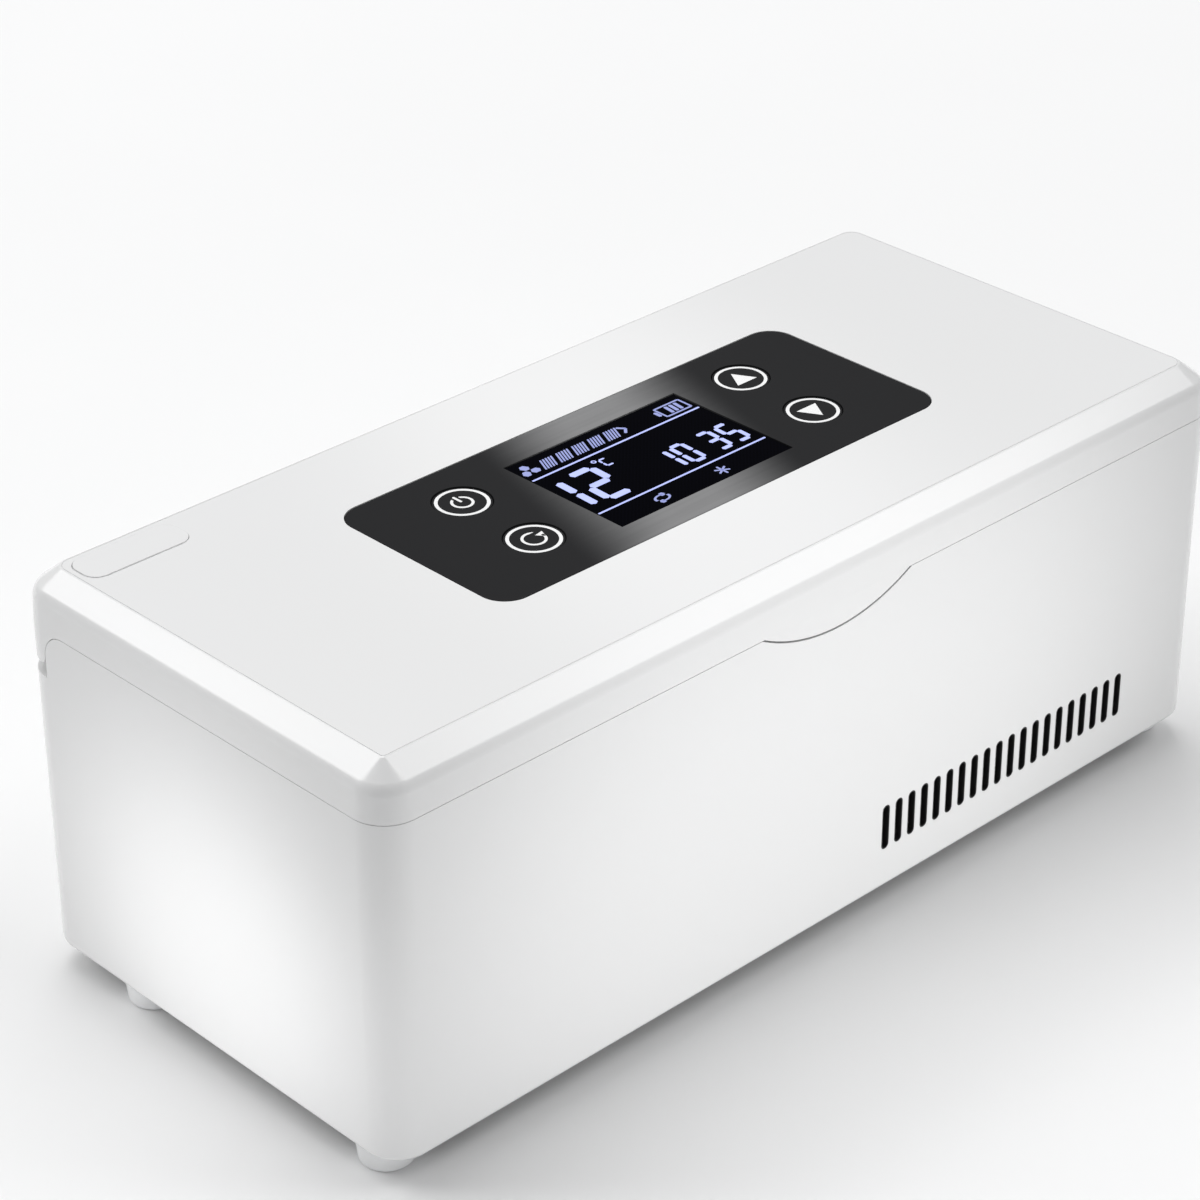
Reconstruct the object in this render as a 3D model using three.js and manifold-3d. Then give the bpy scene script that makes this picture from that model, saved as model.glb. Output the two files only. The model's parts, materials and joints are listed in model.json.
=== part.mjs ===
// Insulin cooling case: a small thermoelectric cooler for insulin pens.
// Millimetres, +Z up. The origin is on the table under the middle of the case,
// X runs along its length and the front faces -Y.
import * as THREE from 'three';
import { mergeVertices } from 'three/addons/utils/BufferGeometryUtils.js';
import Module from 'manifold-3d';

const wasm = await Module();
wasm.setup();

// Outer form
const CASE_LENGTH = 200;
const CASE_WIDTH = 90.8;
const CASE_HEIGHT = 77.5;
const CORNER_RADIUS = 6.5;
const WALL = 2.4;
const FOOT_STANDOUT = 4.5;
const BODY_EDGE = 0.8;
const SEAM_GAP = 0.3;
const FIT_GAP = 0.3;

// Lid form
const SKIRT_HEIGHT = 5.9;
const SKIRT_DRAFT = 0.3;
const CHAMFER_HEIGHT = 3.6;
const CHAMFER_INSET = 4.7;
const CREASE_RADIUS = 2;
const LID_TOP_WALL = 2.4;

// Thumb tab at the front of the lid
const TAB_CENTRE_X = -0.9;
const TAB_WIDTH = 35;
const TAB_DROP = 4.5;
const TAB_THICKNESS = 1.3;

// Shallow relief at the rear left of the lid's top
const RELIEF_LENGTH = 21;
const RELIEF_WIDTH = 8;
const RELIEF_DEPTH = 0.5;
const RELIEF_RADIUS = 3;
const RELIEF_MARGIN = 1.2;

// Hinge along the rear
const HINGE_INSET = 3.8;
const HINGE_DROP = 4.6;
const HINGE_END_INSET = 40;
const PIN_RADIUS = 1;
const PIN_CLEARANCE = 0.08;
const KNUCKLE_RADIUS = 2;
const KNUCKLE_LENGTH = 8;
const REAR_WALL = 1.6;
const REAR_SKIRT_DROP = 1.8;
const REAR_SKIRT_MARGIN = 0.4;
const SWING_CLEARANCE = 0.2;
const SHOULDER_RADIUS = 5;

// Warm-air vents at the front, over the cooler
const VENT_COUNT = 20;
const VENT_PITCH = 3.33;
const VENT_WIDTH = 1.6;
const VENT_HEIGHT = 9;
const VENT_SILL = 8.3;
const COOLER_INSET = 55;

// Control panel in the lid
const PANEL_LENGTH = 105;
const PANEL_WIDTH = 42;
const PANEL_RADIUS = 5;
const PANEL_THICKNESS = 1.2;
const PANEL_Y = 0.5;
const PANEL_GAP = 0.15;
const LCD_LENGTH = 40.6;
const LCD_WIDTH = 28.8;
const LCD_Y = 0;
const LCD_BORDER = 3;
const LCD_BODY_THICKNESS = 1.3;
const KEY_RADIUS = 5.2;
const KEY_THICKNESS = 1.4;
const KEY_TRAVEL = 0.4;
const KEY_STEM_RADIUS = 2;
const KEY_SPACING_X = 66.8;
const KEY_SPACING_Y = 17.6;
const KEY_Y = 1.7;
const SWITCH_SIZE = 6;
const SWITCH_HEIGHT = 1.3;
const BOARD_THICKNESS = 1.6;
const BOARD_MARGIN = 2.5;
const BOARD_POST_RADIUS = 2;

// Chamber for the pens, with its deck and foam
const CHAMBER_END_WALL = 12;
const CHAMBER_SIDE_WALL = 10.6;
const CHAMBER_RADIUS = 6;
const TRAY_WALL = 1;
const TRAY_FLANGE = 3;
const TRAY_ROUND = 3;
const DECK_DROP = 3.65;
const DECK_THICKNESS = 2;
const DECK_LEDGE = 2;
const FOAM_GAP = 0.5;
const FOAM_FLOOR = 6;

// Lid liner and seal
const LINER_WALL = 1.6;
const LINER_CLEARANCE = 1.2;
const GASKET_OFFSET = 1;
const GASKET_WIDTH = 2.4;
const GASKET_THICKNESS = 1.3;
const GASKET_GAP = 0.1;
const LID_FOAM_THICKNESS = 2.8;
const MAGNET_RADIUS = 2.5;
const MAGNET_THICKNESS = 1.4;

// Heat pump: cold plate, thermoelectric module, finned sink and fan
const MODULE_SIZE = 40;
const MODULE_THICKNESS = 3.6;
const COLD_PLATE_THICKNESS = 2.9;
const SINK_FRONT_GAP = 3;
const SINK_BASE = 3.5;
const SINK_FIN_HEIGHT = 8.5;
const SINK_FIN_THICKNESS = 1;
const FAN_SIZE = 50;
const FAN_DEPTH = 10;
const FAN_CORNER = 4;
const FAN_TIP_GAP = 1;
const FAN_RIM = 1.5;
const FAN_HUB_RADIUS = 10;
const FAN_STRUT = 2;
const FAN_BLADES = 7;
const FAN_BLADE_THICKNESS = 0.9;
const FAN_BLADE_CHORD = 9;
const FAN_PITCH_ROOT = 42;
const FAN_PITCH_TIP = 24;
const SENSOR_RADIUS = 1.4;
const SENSOR_LENGTH = 7;

// Battery pack, main board and charging socket
const CELL_RADIUS = 9.2;
const CELL_LENGTH = 65;
const CELL_COUNT = 3;
const CELL_PITCH = 19;
const CELL_CLEARANCE = 0.2;
const CELL_END_INSET = 8;
const CELL_NUB_RADIUS = 3;
const CELL_NUB_HEIGHT = 1.2;
const CRADLE_FLOOR = 1.5;
const CRADLE_DEPTH = 7;
const CRADLE_RIM = 1.2;
const MAIN_BOARD_WIDTH = 74;
const MAIN_BOARD_GAP = 6.8;
const MAIN_BOARD_STANDOFF = 2.2;
const JACK_WIDTH = 9;
const JACK_HEIGHT = 11;
const JACK_DEPTH = 14;
const JACK_NOSE_RADIUS = 3.9;
const JACK_BORE_RADIUS = 2.8;
const JACK_BORE_DEPTH = 9;
const JACK_PIN_RADIUS = 1.05;
const JACK_SETBACK = 0.4;

// Underside
const COVER_THICKNESS = 2;
const COVER_RECESS = 0.8;
const FOOT_RADIUS = 5.1;
const FOOT_TAPER = 0.5;
const FOOT_EDGE = 0.6;
const FOOT_STEM_RADIUS = 3;
const FOOT_GAP = 0.1;
const FOOT_INSET_FRONT = 9;
const FOOT_INSET_REAR = 22;
const GRILLE_RINGS = 4;
const GRILLE_SLOT = 2.6;
const GRILLE_BAR = 2.2;
const GRILLE_HUB = 4;
const GRILLE_SPOKES = 4;
const GRILLE_SPOKE_WIDTH = 3.2;

// Screws
const SCREW_HEAD_RADIUS = 2.4;
const SCREW_HEAD_HEIGHT = 1.4;
const SCREW_RADIUS = 1.1;
const SCREW_CLEARANCE = 0.15;
const COVER_SCREW_LENGTH = 9;
const COVER_SCREW_INSET = 17;
const COVER_SCREW_EDGE = 1.2;
const COUNTERBORE = 1;
const LINER_SCREW_LENGTH = 5;
const LINER_SCREW_INSET = 10;
const LINER_SCREW_SIDE = 7;
const BOSS_WALL = 1.9;
const BOSS_HEIGHT = 16;

// Levels, from the table up
const bodyBottom = FOOT_STANDOUT;
const topZ = CASE_HEIGHT;
const chamferZ = topZ - CHAMFER_HEIGHT;
const seamZ = chamferZ - SKIRT_HEIGHT;
const bodyTop = seamZ - SEAM_GAP / 2;
const lidBottom = seamZ + SEAM_GAP / 2;
const lidCeiling = topZ - LID_TOP_WALL;
const coverBottom = bodyBottom + COVER_RECESS;
const coverTop = coverBottom + COVER_THICKNESS;
const deckTop = bodyTop - DECK_DROP;
const deckBottom = deckTop - DECK_THICKNESS;
const linerBottom = deckTop + GASKET_GAP + GASKET_THICKNESS;
const linerPlateTop = linerBottom + LINER_WALL;
const flangeBottom = lidBottom + FIT_GAP;
const flangeTop = flangeBottom + LINER_WALL;
const fanBottom = coverTop + FIT_GAP;
const fanTop = fanBottom + FAN_DEPTH;
const sinkBottom = fanTop + FIT_GAP;
const sinkTop = sinkBottom + SINK_FIN_HEIGHT + SINK_BASE;
const moduleTop = sinkTop + MODULE_THICKNESS;
const coldPlateTop = moduleTop + COLD_PLATE_THICKNESS;
const trayBottom = coldPlateTop;
const trayTop = deckBottom;
const foamBottom = trayBottom - FOAM_FLOOR;
const panelBottom = topZ - PANEL_THICKNESS;
const boardTop = lidCeiling - LCD_BODY_THICKNESS - PANEL_GAP;

// Places in plan
const halfLength = CASE_LENGTH / 2;
const halfWidth = CASE_WIDTH / 2;
const hingeY = halfWidth - HINGE_INSET;
const hingeZ = seamZ - HINGE_DROP;
const rearSkirtBottom = hingeZ - REAR_SKIRT_DROP;
const rearSkirtFront = KNUCKLE_RADIUS + REAR_SKIRT_MARGIN;
const troughY = hingeY - Math.hypot(rearSkirtFront, REAR_SKIRT_DROP) - SWING_CLEARANCE;
const ledgeZ = hingeZ - Math.hypot(HINGE_INSET, REAR_SKIRT_DROP) - SWING_CLEARANCE;
const shoulderY = troughY - SHOULDER_RADIUS;
const shoulderZ = bodyTop - SHOULDER_RADIUS;
const deckRear = shoulderY - WALL;
const deckFront = WALL - halfWidth;
const chamberLength = CASE_LENGTH - 2 * CHAMBER_END_WALL;
const chamberWidth = deckRear - deckFront - 2 * CHAMBER_SIDE_WALL;
const chamberY = (deckFront + deckRear) / 2;
const coolerX = halfLength - COOLER_INSET;
const sinkReach = chamberY - deckFront - SINK_FRONT_GAP;
const cellEndX = CELL_END_INSET - halfLength;
const cradleMargin = CELL_CLEARANCE + CRADLE_RIM;
const cradleLeft = cellEndX - cradleMargin;
const cradleRight = cellEndX + CELL_LENGTH + cradleMargin;
const fanLeft = coolerX - FAN_SIZE / 2;
const mainBoardLength = fanLeft - cradleRight - 2 * MAIN_BOARD_GAP;
const mainBoardX = (fanLeft + cradleRight) / 2;
const keyX = KEY_SPACING_X / 2;
const keyY = KEY_SPACING_Y / 2;
const magnetY = deckFront + LINER_CLEARANCE + LINER_WALL / 2 + MAGNET_RADIUS;
const mainBoardRear = halfWidth - WALL - FIT_GAP;
const jackZ = coverTop + MAIN_BOARD_STANDOFF + BOARD_THICKNESS + JACK_HEIGHT / 2;
const cellZ = coverTop + FIT_GAP + CRADLE_FLOOR + CELL_CLEARANCE + CELL_RADIUS;
const bossRadius = SCREW_RADIUS + BOSS_WALL;
const footX = halfLength - WALL - 2 * FIT_GAP - FOOT_STEM_RADIUS;
const coverScrewY = halfWidth - WALL - COVER_SCREW_EDGE - bossRadius;

// Facets in a corner's quarter turn, round a wide ring, a key, a rod and a pin, and over a slot's end
const QUARTER = 8;
const RING_FACETS = 24;
const KEY_FACETS = 20;
const ROUND = 16;
const PIN_FACETS = 12;
const SLOT_END = 4;

// How far a cutter runs past what it cuts
const REACH = 20;

// A closed three.js geometry as a solid that can be cut and joined.
function solid(geometry) {
  const bare = geometry.index ? geometry.toNonIndexed() : geometry;
  bare.deleteAttribute('normal');
  bare.deleteAttribute('uv');
  const merged = mergeVertices(bare, 1e-5);
  return new wasm.Manifold(new wasm.Mesh({
    numProp: 3,
    vertProperties: new Float32Array(merged.attributes.position.array),
    triVerts: new Uint32Array(merged.index.array),
  }));
}

// A finished solid as a three.js geometry again.
function geometryOf(body) {
  const mesh = body.getMesh();
  const geometry = new THREE.BufferGeometry();
  const positions = new Float32Array(mesh.numVert * 3);
  for (let i = 0; i < mesh.numVert; i += 1) {
    for (let k = 0; k < 3; k += 1) {
      positions[i * 3 + k] = mesh.vertProperties[i * mesh.numProp + k];
    }
  }
  geometry.setAttribute('position', new THREE.BufferAttribute(positions, 3));
  geometry.setIndex(new THREE.BufferAttribute(new Uint32Array(mesh.triVerts), 1));
  geometry.computeVertexNormals();
  return geometry;
}

const join = (bodies) => bodies.reduce((all, next) => all.add(next));
const cut = (body, cutters) => cutters.reduce((left, cutter) => left.subtract(cutter), body);

// Rounded rectangle with its own front, rear, left and right edges.
function frameShape(left, right, front, rear, radius) {
  const shape = new THREE.Shape();
  const quarter = Math.PI / 2;
  shape.moveTo(right, front + radius);
  shape.absarc(right - radius, rear - radius, radius, 0, quarter);
  shape.absarc(left + radius, rear - radius, radius, quarter, 2 * quarter);
  shape.absarc(left + radius, front + radius, radius, 2 * quarter, 3 * quarter);
  shape.absarc(right - radius, front + radius, radius, 3 * quarter, 4 * quarter);
  return shape;
}

const plateShape = (length, width, radius, x = 0, y = 0) =>
  frameShape(x - length / 2, x + length / 2, y - width / 2, y + width / 2, radius);

function discShape(radius, x = 0, y = 0) {
  return new THREE.Shape().absarc(x, y, radius, 0, 2 * Math.PI);
}

// Shapes pushed up along Z, back along Y, or sideways along X, with so many facets to each arc.
// three.js splits an arc into twice its curveSegments.
function extrude(shape, depth, facets) {
  return new THREE.ExtrudeGeometry(shape, { depth, bevelEnabled: false, curveSegments: facets / 2 });
}

function prismZ(shape, low, high, facets = QUARTER) {
  return solid(extrude(shape, high - low, facets).translate(0, 0, low));
}

function prismY(shape, front, rear, facets = QUARTER) {
  return solid(extrude(shape, rear - front, facets).rotateX(Math.PI / 2).translate(0, rear, 0));
}

const sideways = new THREE.Matrix4().makeBasis(
  new THREE.Vector3(0, 1, 0), new THREE.Vector3(0, 0, 1), new THREE.Vector3(1, 0, 0));

function prismX(shape, left, right, facets = QUARTER) {
  return solid(extrude(shape, right - left, facets).applyMatrix4(sideways).translate(left, 0, 0));
}

function box(left, right, front, rear, low, high) {
  const geometry = new THREE.BoxGeometry(right - left, rear - front, high - low);
  return solid(geometry.translate((left + right) / 2, (front + rear) / 2, (low + high) / 2));
}

function rod(radius, low, high, x = 0, y = 0, sides = ROUND) {
  const geometry = new THREE.CylinderGeometry(radius, radius, high - low, sides);
  return solid(geometry.rotateX(Math.PI / 2).translate(x, y, (low + high) / 2));
}

// Half a section, as [radius, height] pairs from the axis and back to it, turned about Z.
function turned(profile, sides = ROUND) {
  const points = profile.map(([radius, height]) => new THREE.Vector2(radius, height));
  return solid(new THREE.LatheGeometry(points, sides).rotateX(Math.PI / 2));
}

// A skin stretched over rings of equal point counts, closed at both ends.
function loft(rings) {
  const count = rings[0].length;
  const positions = rings.flat().flatMap((point) => [point.x, point.y, point.z]);
  const faces = [];
  for (let ring = 0; ring + 1 < rings.length; ring += 1) {
    for (let i = 0; i < count; i += 1) {
      const a = ring * count + i;
      const b = ring * count + (i + 1) % count;
      faces.push(a, b, b + count, a, b + count, a + count);
    }
  }
  const last = (rings.length - 1) * count;
  for (let i = 1; i + 1 < count; i += 1) {
    faces.push(0, i + 1, i, last, last + i, last + i + 1);
  }
  const geometry = new THREE.BufferGeometry();
  geometry.setAttribute('position', new THREE.Float32BufferAttribute(positions, 3));
  geometry.setIndex(faces);
  return solid(geometry);
}

// One level ring of a rounded rectangle for a loft.
function ring(left, right, front, rear, radius, z) {
  const corners = [[right, rear, 0], [left, rear, 1], [left, front, 2], [right, front, 3]];
  const points = [];
  for (const [x, y, turn] of corners) {
    const centreX = x - Math.sign(x) * radius;
    const centreY = y === rear ? y - radius : y + radius;
    for (let step = 0; step <= QUARTER; step += 1) {
      const angle = (turn + step / QUARTER) * Math.PI / 2;
      points.push(new THREE.Vector3(
        centreX + radius * Math.cos(angle), centreY + radius * Math.sin(angle), z));
    }
  }
  return points;
}

const outerRing = (inset, radius, z) =>
  ring(inset - halfLength, halfLength - inset, inset - halfWidth, halfWidth - inset, radius, z);

const insetShape = (inset, rear) =>
  frameShape(inset - halfLength, halfLength - inset, inset - halfWidth, rear, CORNER_RADIUS - inset);

// The part of a disc, upright in X and Z, that hangs below the level topLevel.
function hangingLens(radius, centreX, centreZ, topLevel) {
  const start = Math.atan2(topLevel - centreZ, -Math.sqrt(radius ** 2 - (topLevel - centreZ) ** 2));
  return new THREE.Shape().absarc(centreX, centreZ, radius, start, -Math.PI - start);
}

function slotShape(width, height, x, low) {
  const radius = width / 2;
  const shape = new THREE.Shape();
  shape.absarc(x, low + height - radius, radius, 0, Math.PI);
  shape.absarc(x, low + radius, radius, Math.PI, 2 * Math.PI);
  return shape;
}

// Thumb tab: an arc that hangs from the seam, and the recess that takes it.
const tabRadius = (TAB_WIDTH ** 2 / 4 + TAB_DROP ** 2) / (2 * TAB_DROP);
const tabCentreZ = seamZ - TAB_DROP + tabRadius;

function tabLens(margin, topLevel) {
  return hangingLens(tabRadius + margin, TAB_CENTRE_X, tabCentreZ, topLevel);
}

// A knuckle round the hinge axis, with a web from the axis to webEnd.
function knuckle(left, right, webEnd, webLow) {
  const barrel = prismX(discShape(KNUCKLE_RADIUS, hingeY, hingeZ), left, right, ROUND);
  const web = box(left, right, Math.min(hingeY, webEnd), Math.max(hingeY, webEnd),
    webLow, hingeZ + KNUCKLE_RADIUS);
  return barrel.add(web);
}

const hingePlaces = [HINGE_END_INSET - halfLength, halfLength - HINGE_END_INSET];
const pinBore = (x) => prismX(discShape(PIN_RADIUS + PIN_CLEARANCE, hingeY, hingeZ),
  x - REACH, x + REACH, PIN_FACETS);

function bodyHinge(x) {
  const inner = KNUCKLE_LENGTH / 2 + FIT_GAP;
  const outer = inner + KNUCKLE_LENGTH;
  const webStart = troughY - WALL / 2;
  const low = hingeZ - KNUCKLE_RADIUS;
  return knuckle(x - outer, x - inner, webStart, low).add(knuckle(x + inner, x + outer, webStart, low));
}

function lidHinge(x) {
  const half = KNUCKLE_LENGTH / 2;
  return knuckle(x - half, x + half, halfWidth - REAR_WALL / 2, rearSkirtBottom);
}

// Rear trough of the body, which the lid's deep rear skirt swings down into.
function trough() {
  const shape = new THREE.Shape();
  shape.moveTo(shoulderY, bodyTop + REACH);
  shape.lineTo(shoulderY, bodyTop);
  shape.absarc(shoulderY, shoulderZ, SHOULDER_RADIUS, Math.PI / 2, 0, true);
  shape.lineTo(troughY, ledgeZ);
  shape.lineTo(halfWidth + REACH, ledgeZ);
  shape.lineTo(halfWidth + REACH, bodyTop + REACH);
  return prismX(shape, -halfLength - REACH, halfLength + REACH);
}

// What the lid leaves free below its seam, round the body's rear shoulder.
function lidUnderside() {
  const front = hingeY - rearSkirtFront;
  const radius = lidBottom - shoulderZ;
  const shape = new THREE.Shape();
  shape.moveTo(-halfWidth - REACH, rearSkirtBottom - REACH);
  shape.lineTo(front, rearSkirtBottom - REACH);
  shape.absarc(front - radius, shoulderZ, radius, 0, Math.PI / 2);
  shape.lineTo(-halfWidth - REACH, lidBottom);
  return prismX(shape, -halfLength - REACH, halfLength + REACH);
}

const signs = [-1, 1];
const coverScrewPlaces = signs.flatMap((x) => signs.map((y) =>
  [x * (halfLength - COVER_SCREW_INSET), y * coverScrewY]));
const linerScrewPlaces = signs.flatMap((x) => signs.map((y) =>
  [x * (chamberLength / 2 - LINER_SCREW_INSET), chamberY + y * (chamberWidth / 2 - LINER_SCREW_SIDE)]));

function ventSlots() {
  const first = coolerX - (VENT_COUNT - 1) * VENT_PITCH / 2;
  const slots = [];
  for (let i = 0; i < VENT_COUNT; i += 1) {
    const shape = slotShape(VENT_WIDTH, VENT_HEIGHT, first + i * VENT_PITCH, bodyBottom + VENT_SILL);
    slots.push(prismY(shape, -halfWidth - REACH, WALL - halfWidth + REACH, SLOT_END));
  }
  return slots;
}

function bodyShell() {
  const outside = loft([
    outerRing(BODY_EDGE, CORNER_RADIUS - BODY_EDGE, bodyBottom),
    outerRing(0, CORNER_RADIUS, bodyBottom + BODY_EDGE),
    outerRing(0, CORNER_RADIUS, bodyTop),
  ]);
  const ledgeInset = WALL + DECK_LEDGE;
  const hollow = join([
    prismZ(insetShape(WALL, halfWidth - WALL), bodyBottom - REACH, ledgeZ - WALL),
    prismZ(insetShape(ledgeInset, deckRear - DECK_LEDGE), ledgeZ - WALL - SEAM_GAP, deckBottom + SEAM_GAP),
    prismZ(insetShape(WALL, deckRear), deckBottom, bodyTop + REACH),
  ]);
  const bosses = coverScrewPlaces.map(([x, y]) => {
    const column = rod(bossRadius, coverTop, coverTop + BOSS_HEIGHT, x, y);
    const wallSide = Math.sign(y) * (halfWidth - WALL / 2);
    const rib = box(x - BOSS_WALL / 2, x + BOSS_WALL / 2, Math.min(y, wallSide), Math.max(y, wallSide),
      coverTop, coverTop + BOSS_HEIGHT);
    const pilot = rod(SCREW_RADIUS + SCREW_CLEARANCE, coverTop - REACH,
      coverBottom + COUNTERBORE + COVER_SCREW_LENGTH + FIT_GAP, x, y, PIN_FACETS);
    return column.add(rib).subtract(pilot);
  });
  const tabRecess = prismY(tabLens(FIT_GAP, bodyTop + TAB_DROP), -halfWidth - REACH,
    TAB_THICKNESS + FIT_GAP - halfWidth, ROUND);
  const jackHole = prismY(discShape(JACK_NOSE_RADIUS + FIT_GAP, mainBoardX, jackZ),
    halfWidth - WALL - FIT_GAP, halfWidth + REACH, ROUND);
  const shell = cut(outside, [hollow, trough(), tabRecess, jackHole, ...ventSlots()]);
  const hinged = join([shell, ...bosses, ...hingePlaces.map(bodyHinge)]);
  return cut(hinged, hingePlaces.map(pinBore));
}

// Ring slots under the fan, cut into arcs by the spokes.
function grilleSlots() {
  const slots = [];
  for (let i = 0; i < GRILLE_RINGS; i += 1) {
    const inner = GRILLE_HUB + i * (GRILLE_SLOT + GRILLE_BAR);
    const shape = discShape(inner + GRILLE_SLOT, coolerX, chamberY);
    shape.holes.push(discShape(inner, coolerX, chamberY));
    slots.push(prismZ(shape, coverBottom - REACH, coverTop + REACH, RING_FACETS));
  }
  const reach = GRILLE_HUB + GRILLE_RINGS * (GRILLE_SLOT + GRILLE_BAR);
  const spokes = [];
  for (let i = 0; i < GRILLE_SPOKES; i += 1) {
    const angle = (i + 0.5) * Math.PI / GRILLE_SPOKES;
    const bar = new THREE.BoxGeometry(2 * reach, GRILLE_SPOKE_WIDTH, COVER_THICKNESS + 3 * REACH);
    spokes.push(solid(bar.rotateZ(angle).translate(coolerX, chamberY, coverBottom)));
  }
  return cut(join(slots), spokes);
}

const mainBoardY = mainBoardRear - MAIN_BOARD_WIDTH / 2;
const mainBoardPosts = signs.flatMap((x) => signs.map((y) => [
  mainBoardX + x * (mainBoardLength / 2 - BOARD_MARGIN - BOARD_POST_RADIUS),
  mainBoardY + y * (MAIN_BOARD_WIDTH / 2 - BOARD_MARGIN - BOARD_POST_RADIUS)]));

function bottomCover() {
  const inset = WALL + FIT_GAP;
  const plate = prismZ(insetShape(inset, halfWidth - inset), coverBottom, coverTop);
  const posts = mainBoardPosts.map(([x, y]) =>
    rod(BOARD_POST_RADIUS, coverTop - COVER_THICKNESS / 2, coverTop + MAIN_BOARD_STANDOFF, x, y, PIN_FACETS));
  const holes = coverScrewPlaces.flatMap(([x, y]) => [
    rod(SCREW_RADIUS + SCREW_CLEARANCE, coverBottom - REACH, coverTop + REACH, x, y, PIN_FACETS),
    rod(SCREW_HEAD_RADIUS + FIT_GAP, coverBottom - REACH, coverBottom + COUNTERBORE, x, y),
  ]);
  return cut(join([plate, ...posts]), [grilleSlots(), ...holes]);
}

// A pad that reaches under the body's rim, on a stem from the cover.
function foot() {
  const padTop = bodyBottom - FOOT_GAP;
  return turned([
    [0, 0], [FOOT_RADIUS - FOOT_TAPER - FOOT_EDGE, 0], [FOOT_RADIUS - FOOT_TAPER, FOOT_EDGE],
    [FOOT_RADIUS, padTop], [FOOT_STEM_RADIUS, padTop], [FOOT_STEM_RADIUS, coverBottom], [0, coverBottom],
  ]);
}

// A pan-head screw with its head's seat at the origin and its shank upwards.
function screw(length) {
  const crown = SCREW_HEAD_HEIGHT / 2;
  return turned([
    [0, -SCREW_HEAD_HEIGHT], [SCREW_HEAD_RADIUS / 2, -SCREW_HEAD_HEIGHT], [SCREW_HEAD_RADIUS, -crown],
    [SCREW_HEAD_RADIUS, 0], [SCREW_RADIUS, 0], [SCREW_RADIUS, length], [0, length],
  ], PIN_FACETS);
}

const chamberShape = (margin) => plateShape(chamberLength + 2 * margin, chamberWidth + 2 * margin,
  CHAMBER_RADIUS + margin, 0, chamberY);

function innerDeck() {
  const plate = prismZ(insetShape(WALL + FIT_GAP, deckRear - FIT_GAP), deckBottom, deckTop);
  const mouth = prismZ(chamberShape(0), deckBottom - REACH, deckTop + REACH);
  const magnetHole = rod(MAGNET_RADIUS + FIT_GAP, deckTop - MAGNET_THICKNESS, deckTop + REACH,
    TAB_CENTRE_X, magnetY);
  return cut(plate, [mouth, magnetHole]);
}

function chamberRing(margin, z) {
  const halfX = chamberLength / 2 + margin;
  const halfY = chamberWidth / 2 + margin;
  return ring(-halfX, halfX, chamberY - halfY, chamberY + halfY, CHAMBER_RADIUS + margin, z);
}

// Deep-drawn aluminium tray: rounded bottom edge, upright sides, flat flange under the deck.
function chamberTray() {
  const outside = loft([
    chamberRing(TRAY_WALL - TRAY_ROUND, trayBottom),
    chamberRing(TRAY_WALL - TRAY_ROUND / 3, trayBottom + TRAY_ROUND / 3),
    chamberRing(TRAY_WALL, trayBottom + TRAY_ROUND),
    chamberRing(TRAY_WALL, trayTop),
  ]);
  const flange = prismZ(chamberShape(TRAY_WALL + TRAY_FLANGE), trayTop - TRAY_WALL, trayTop);
  const hollow = loft([
    chamberRing(-TRAY_ROUND, trayBottom + TRAY_WALL),
    chamberRing(-TRAY_ROUND / 3, trayBottom + TRAY_WALL + TRAY_ROUND / 3),
    chamberRing(0, trayBottom + TRAY_WALL + TRAY_ROUND),
    chamberRing(0, trayTop + REACH),
  ]);
  return outside.add(flange).subtract(hollow);
}

function chamberInsulation() {
  const inset = WALL + DECK_LEDGE + FOAM_GAP;
  const block = prismZ(insetShape(inset, deckRear - DECK_LEDGE - FOAM_GAP),
    foamBottom, trayTop - TRAY_WALL - FIT_GAP);
  const pocket = prismZ(chamberShape(TRAY_WALL + FIT_GAP), trayBottom - FIT_GAP, trayTop + REACH);
  const half = MODULE_SIZE / 2 + FOAM_GAP;
  const sensorRoom = 2 * SENSOR_RADIUS + FIT_GAP;
  const window = box(coolerX - half - sensorRoom, coolerX + half, chamberY - half, chamberY + half,
    foamBottom - REACH, trayBottom + REACH);
  return cut(block, [pocket, window]);
}

const modulePlate = (low, high) =>
  prismZ(plateShape(MODULE_SIZE, MODULE_SIZE, FIT_GAP, coolerX, chamberY), low, high, 2);

// Two ceramic plates with the row of pellets between them set in.
function peltierModule() {
  const plate = MODULE_THICKNESS / 4;
  const core = MODULE_SIZE / 2 - MODULE_THICKNESS / 4;
  return join([
    modulePlate(sinkTop, sinkTop + plate),
    box(coolerX - core, coolerX + core, chamberY - core, chamberY + core,
      sinkTop + plate / 2, moduleTop - plate / 2),
    modulePlate(moduleTop - plate, moduleTop),
  ]);
}

// Comb of fins whose gaps line up with the vent slots.
function heatSink() {
  const width = VENT_COUNT * VENT_PITCH;
  const left = coolerX - width / 2;
  const finTop = sinkTop - SINK_BASE;
  const half = SINK_FIN_THICKNESS / 2;
  const shape = new THREE.Shape();
  shape.moveTo(left - half, sinkTop);
  for (let i = 0; i <= VENT_COUNT; i += 1) {
    const x = left + i * VENT_PITCH;
    shape.lineTo(x - half, i === 0 ? sinkBottom : finTop);
    shape.lineTo(x - half, sinkBottom);
    shape.lineTo(x + half, sinkBottom);
    shape.lineTo(x + half, i === VENT_COUNT ? sinkTop : finTop);
  }
  return prismY(shape, chamberY - sinkReach, chamberY + sinkReach);
}

const ductRadius = FAN_SIZE / 2 - FAN_RIM;

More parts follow.
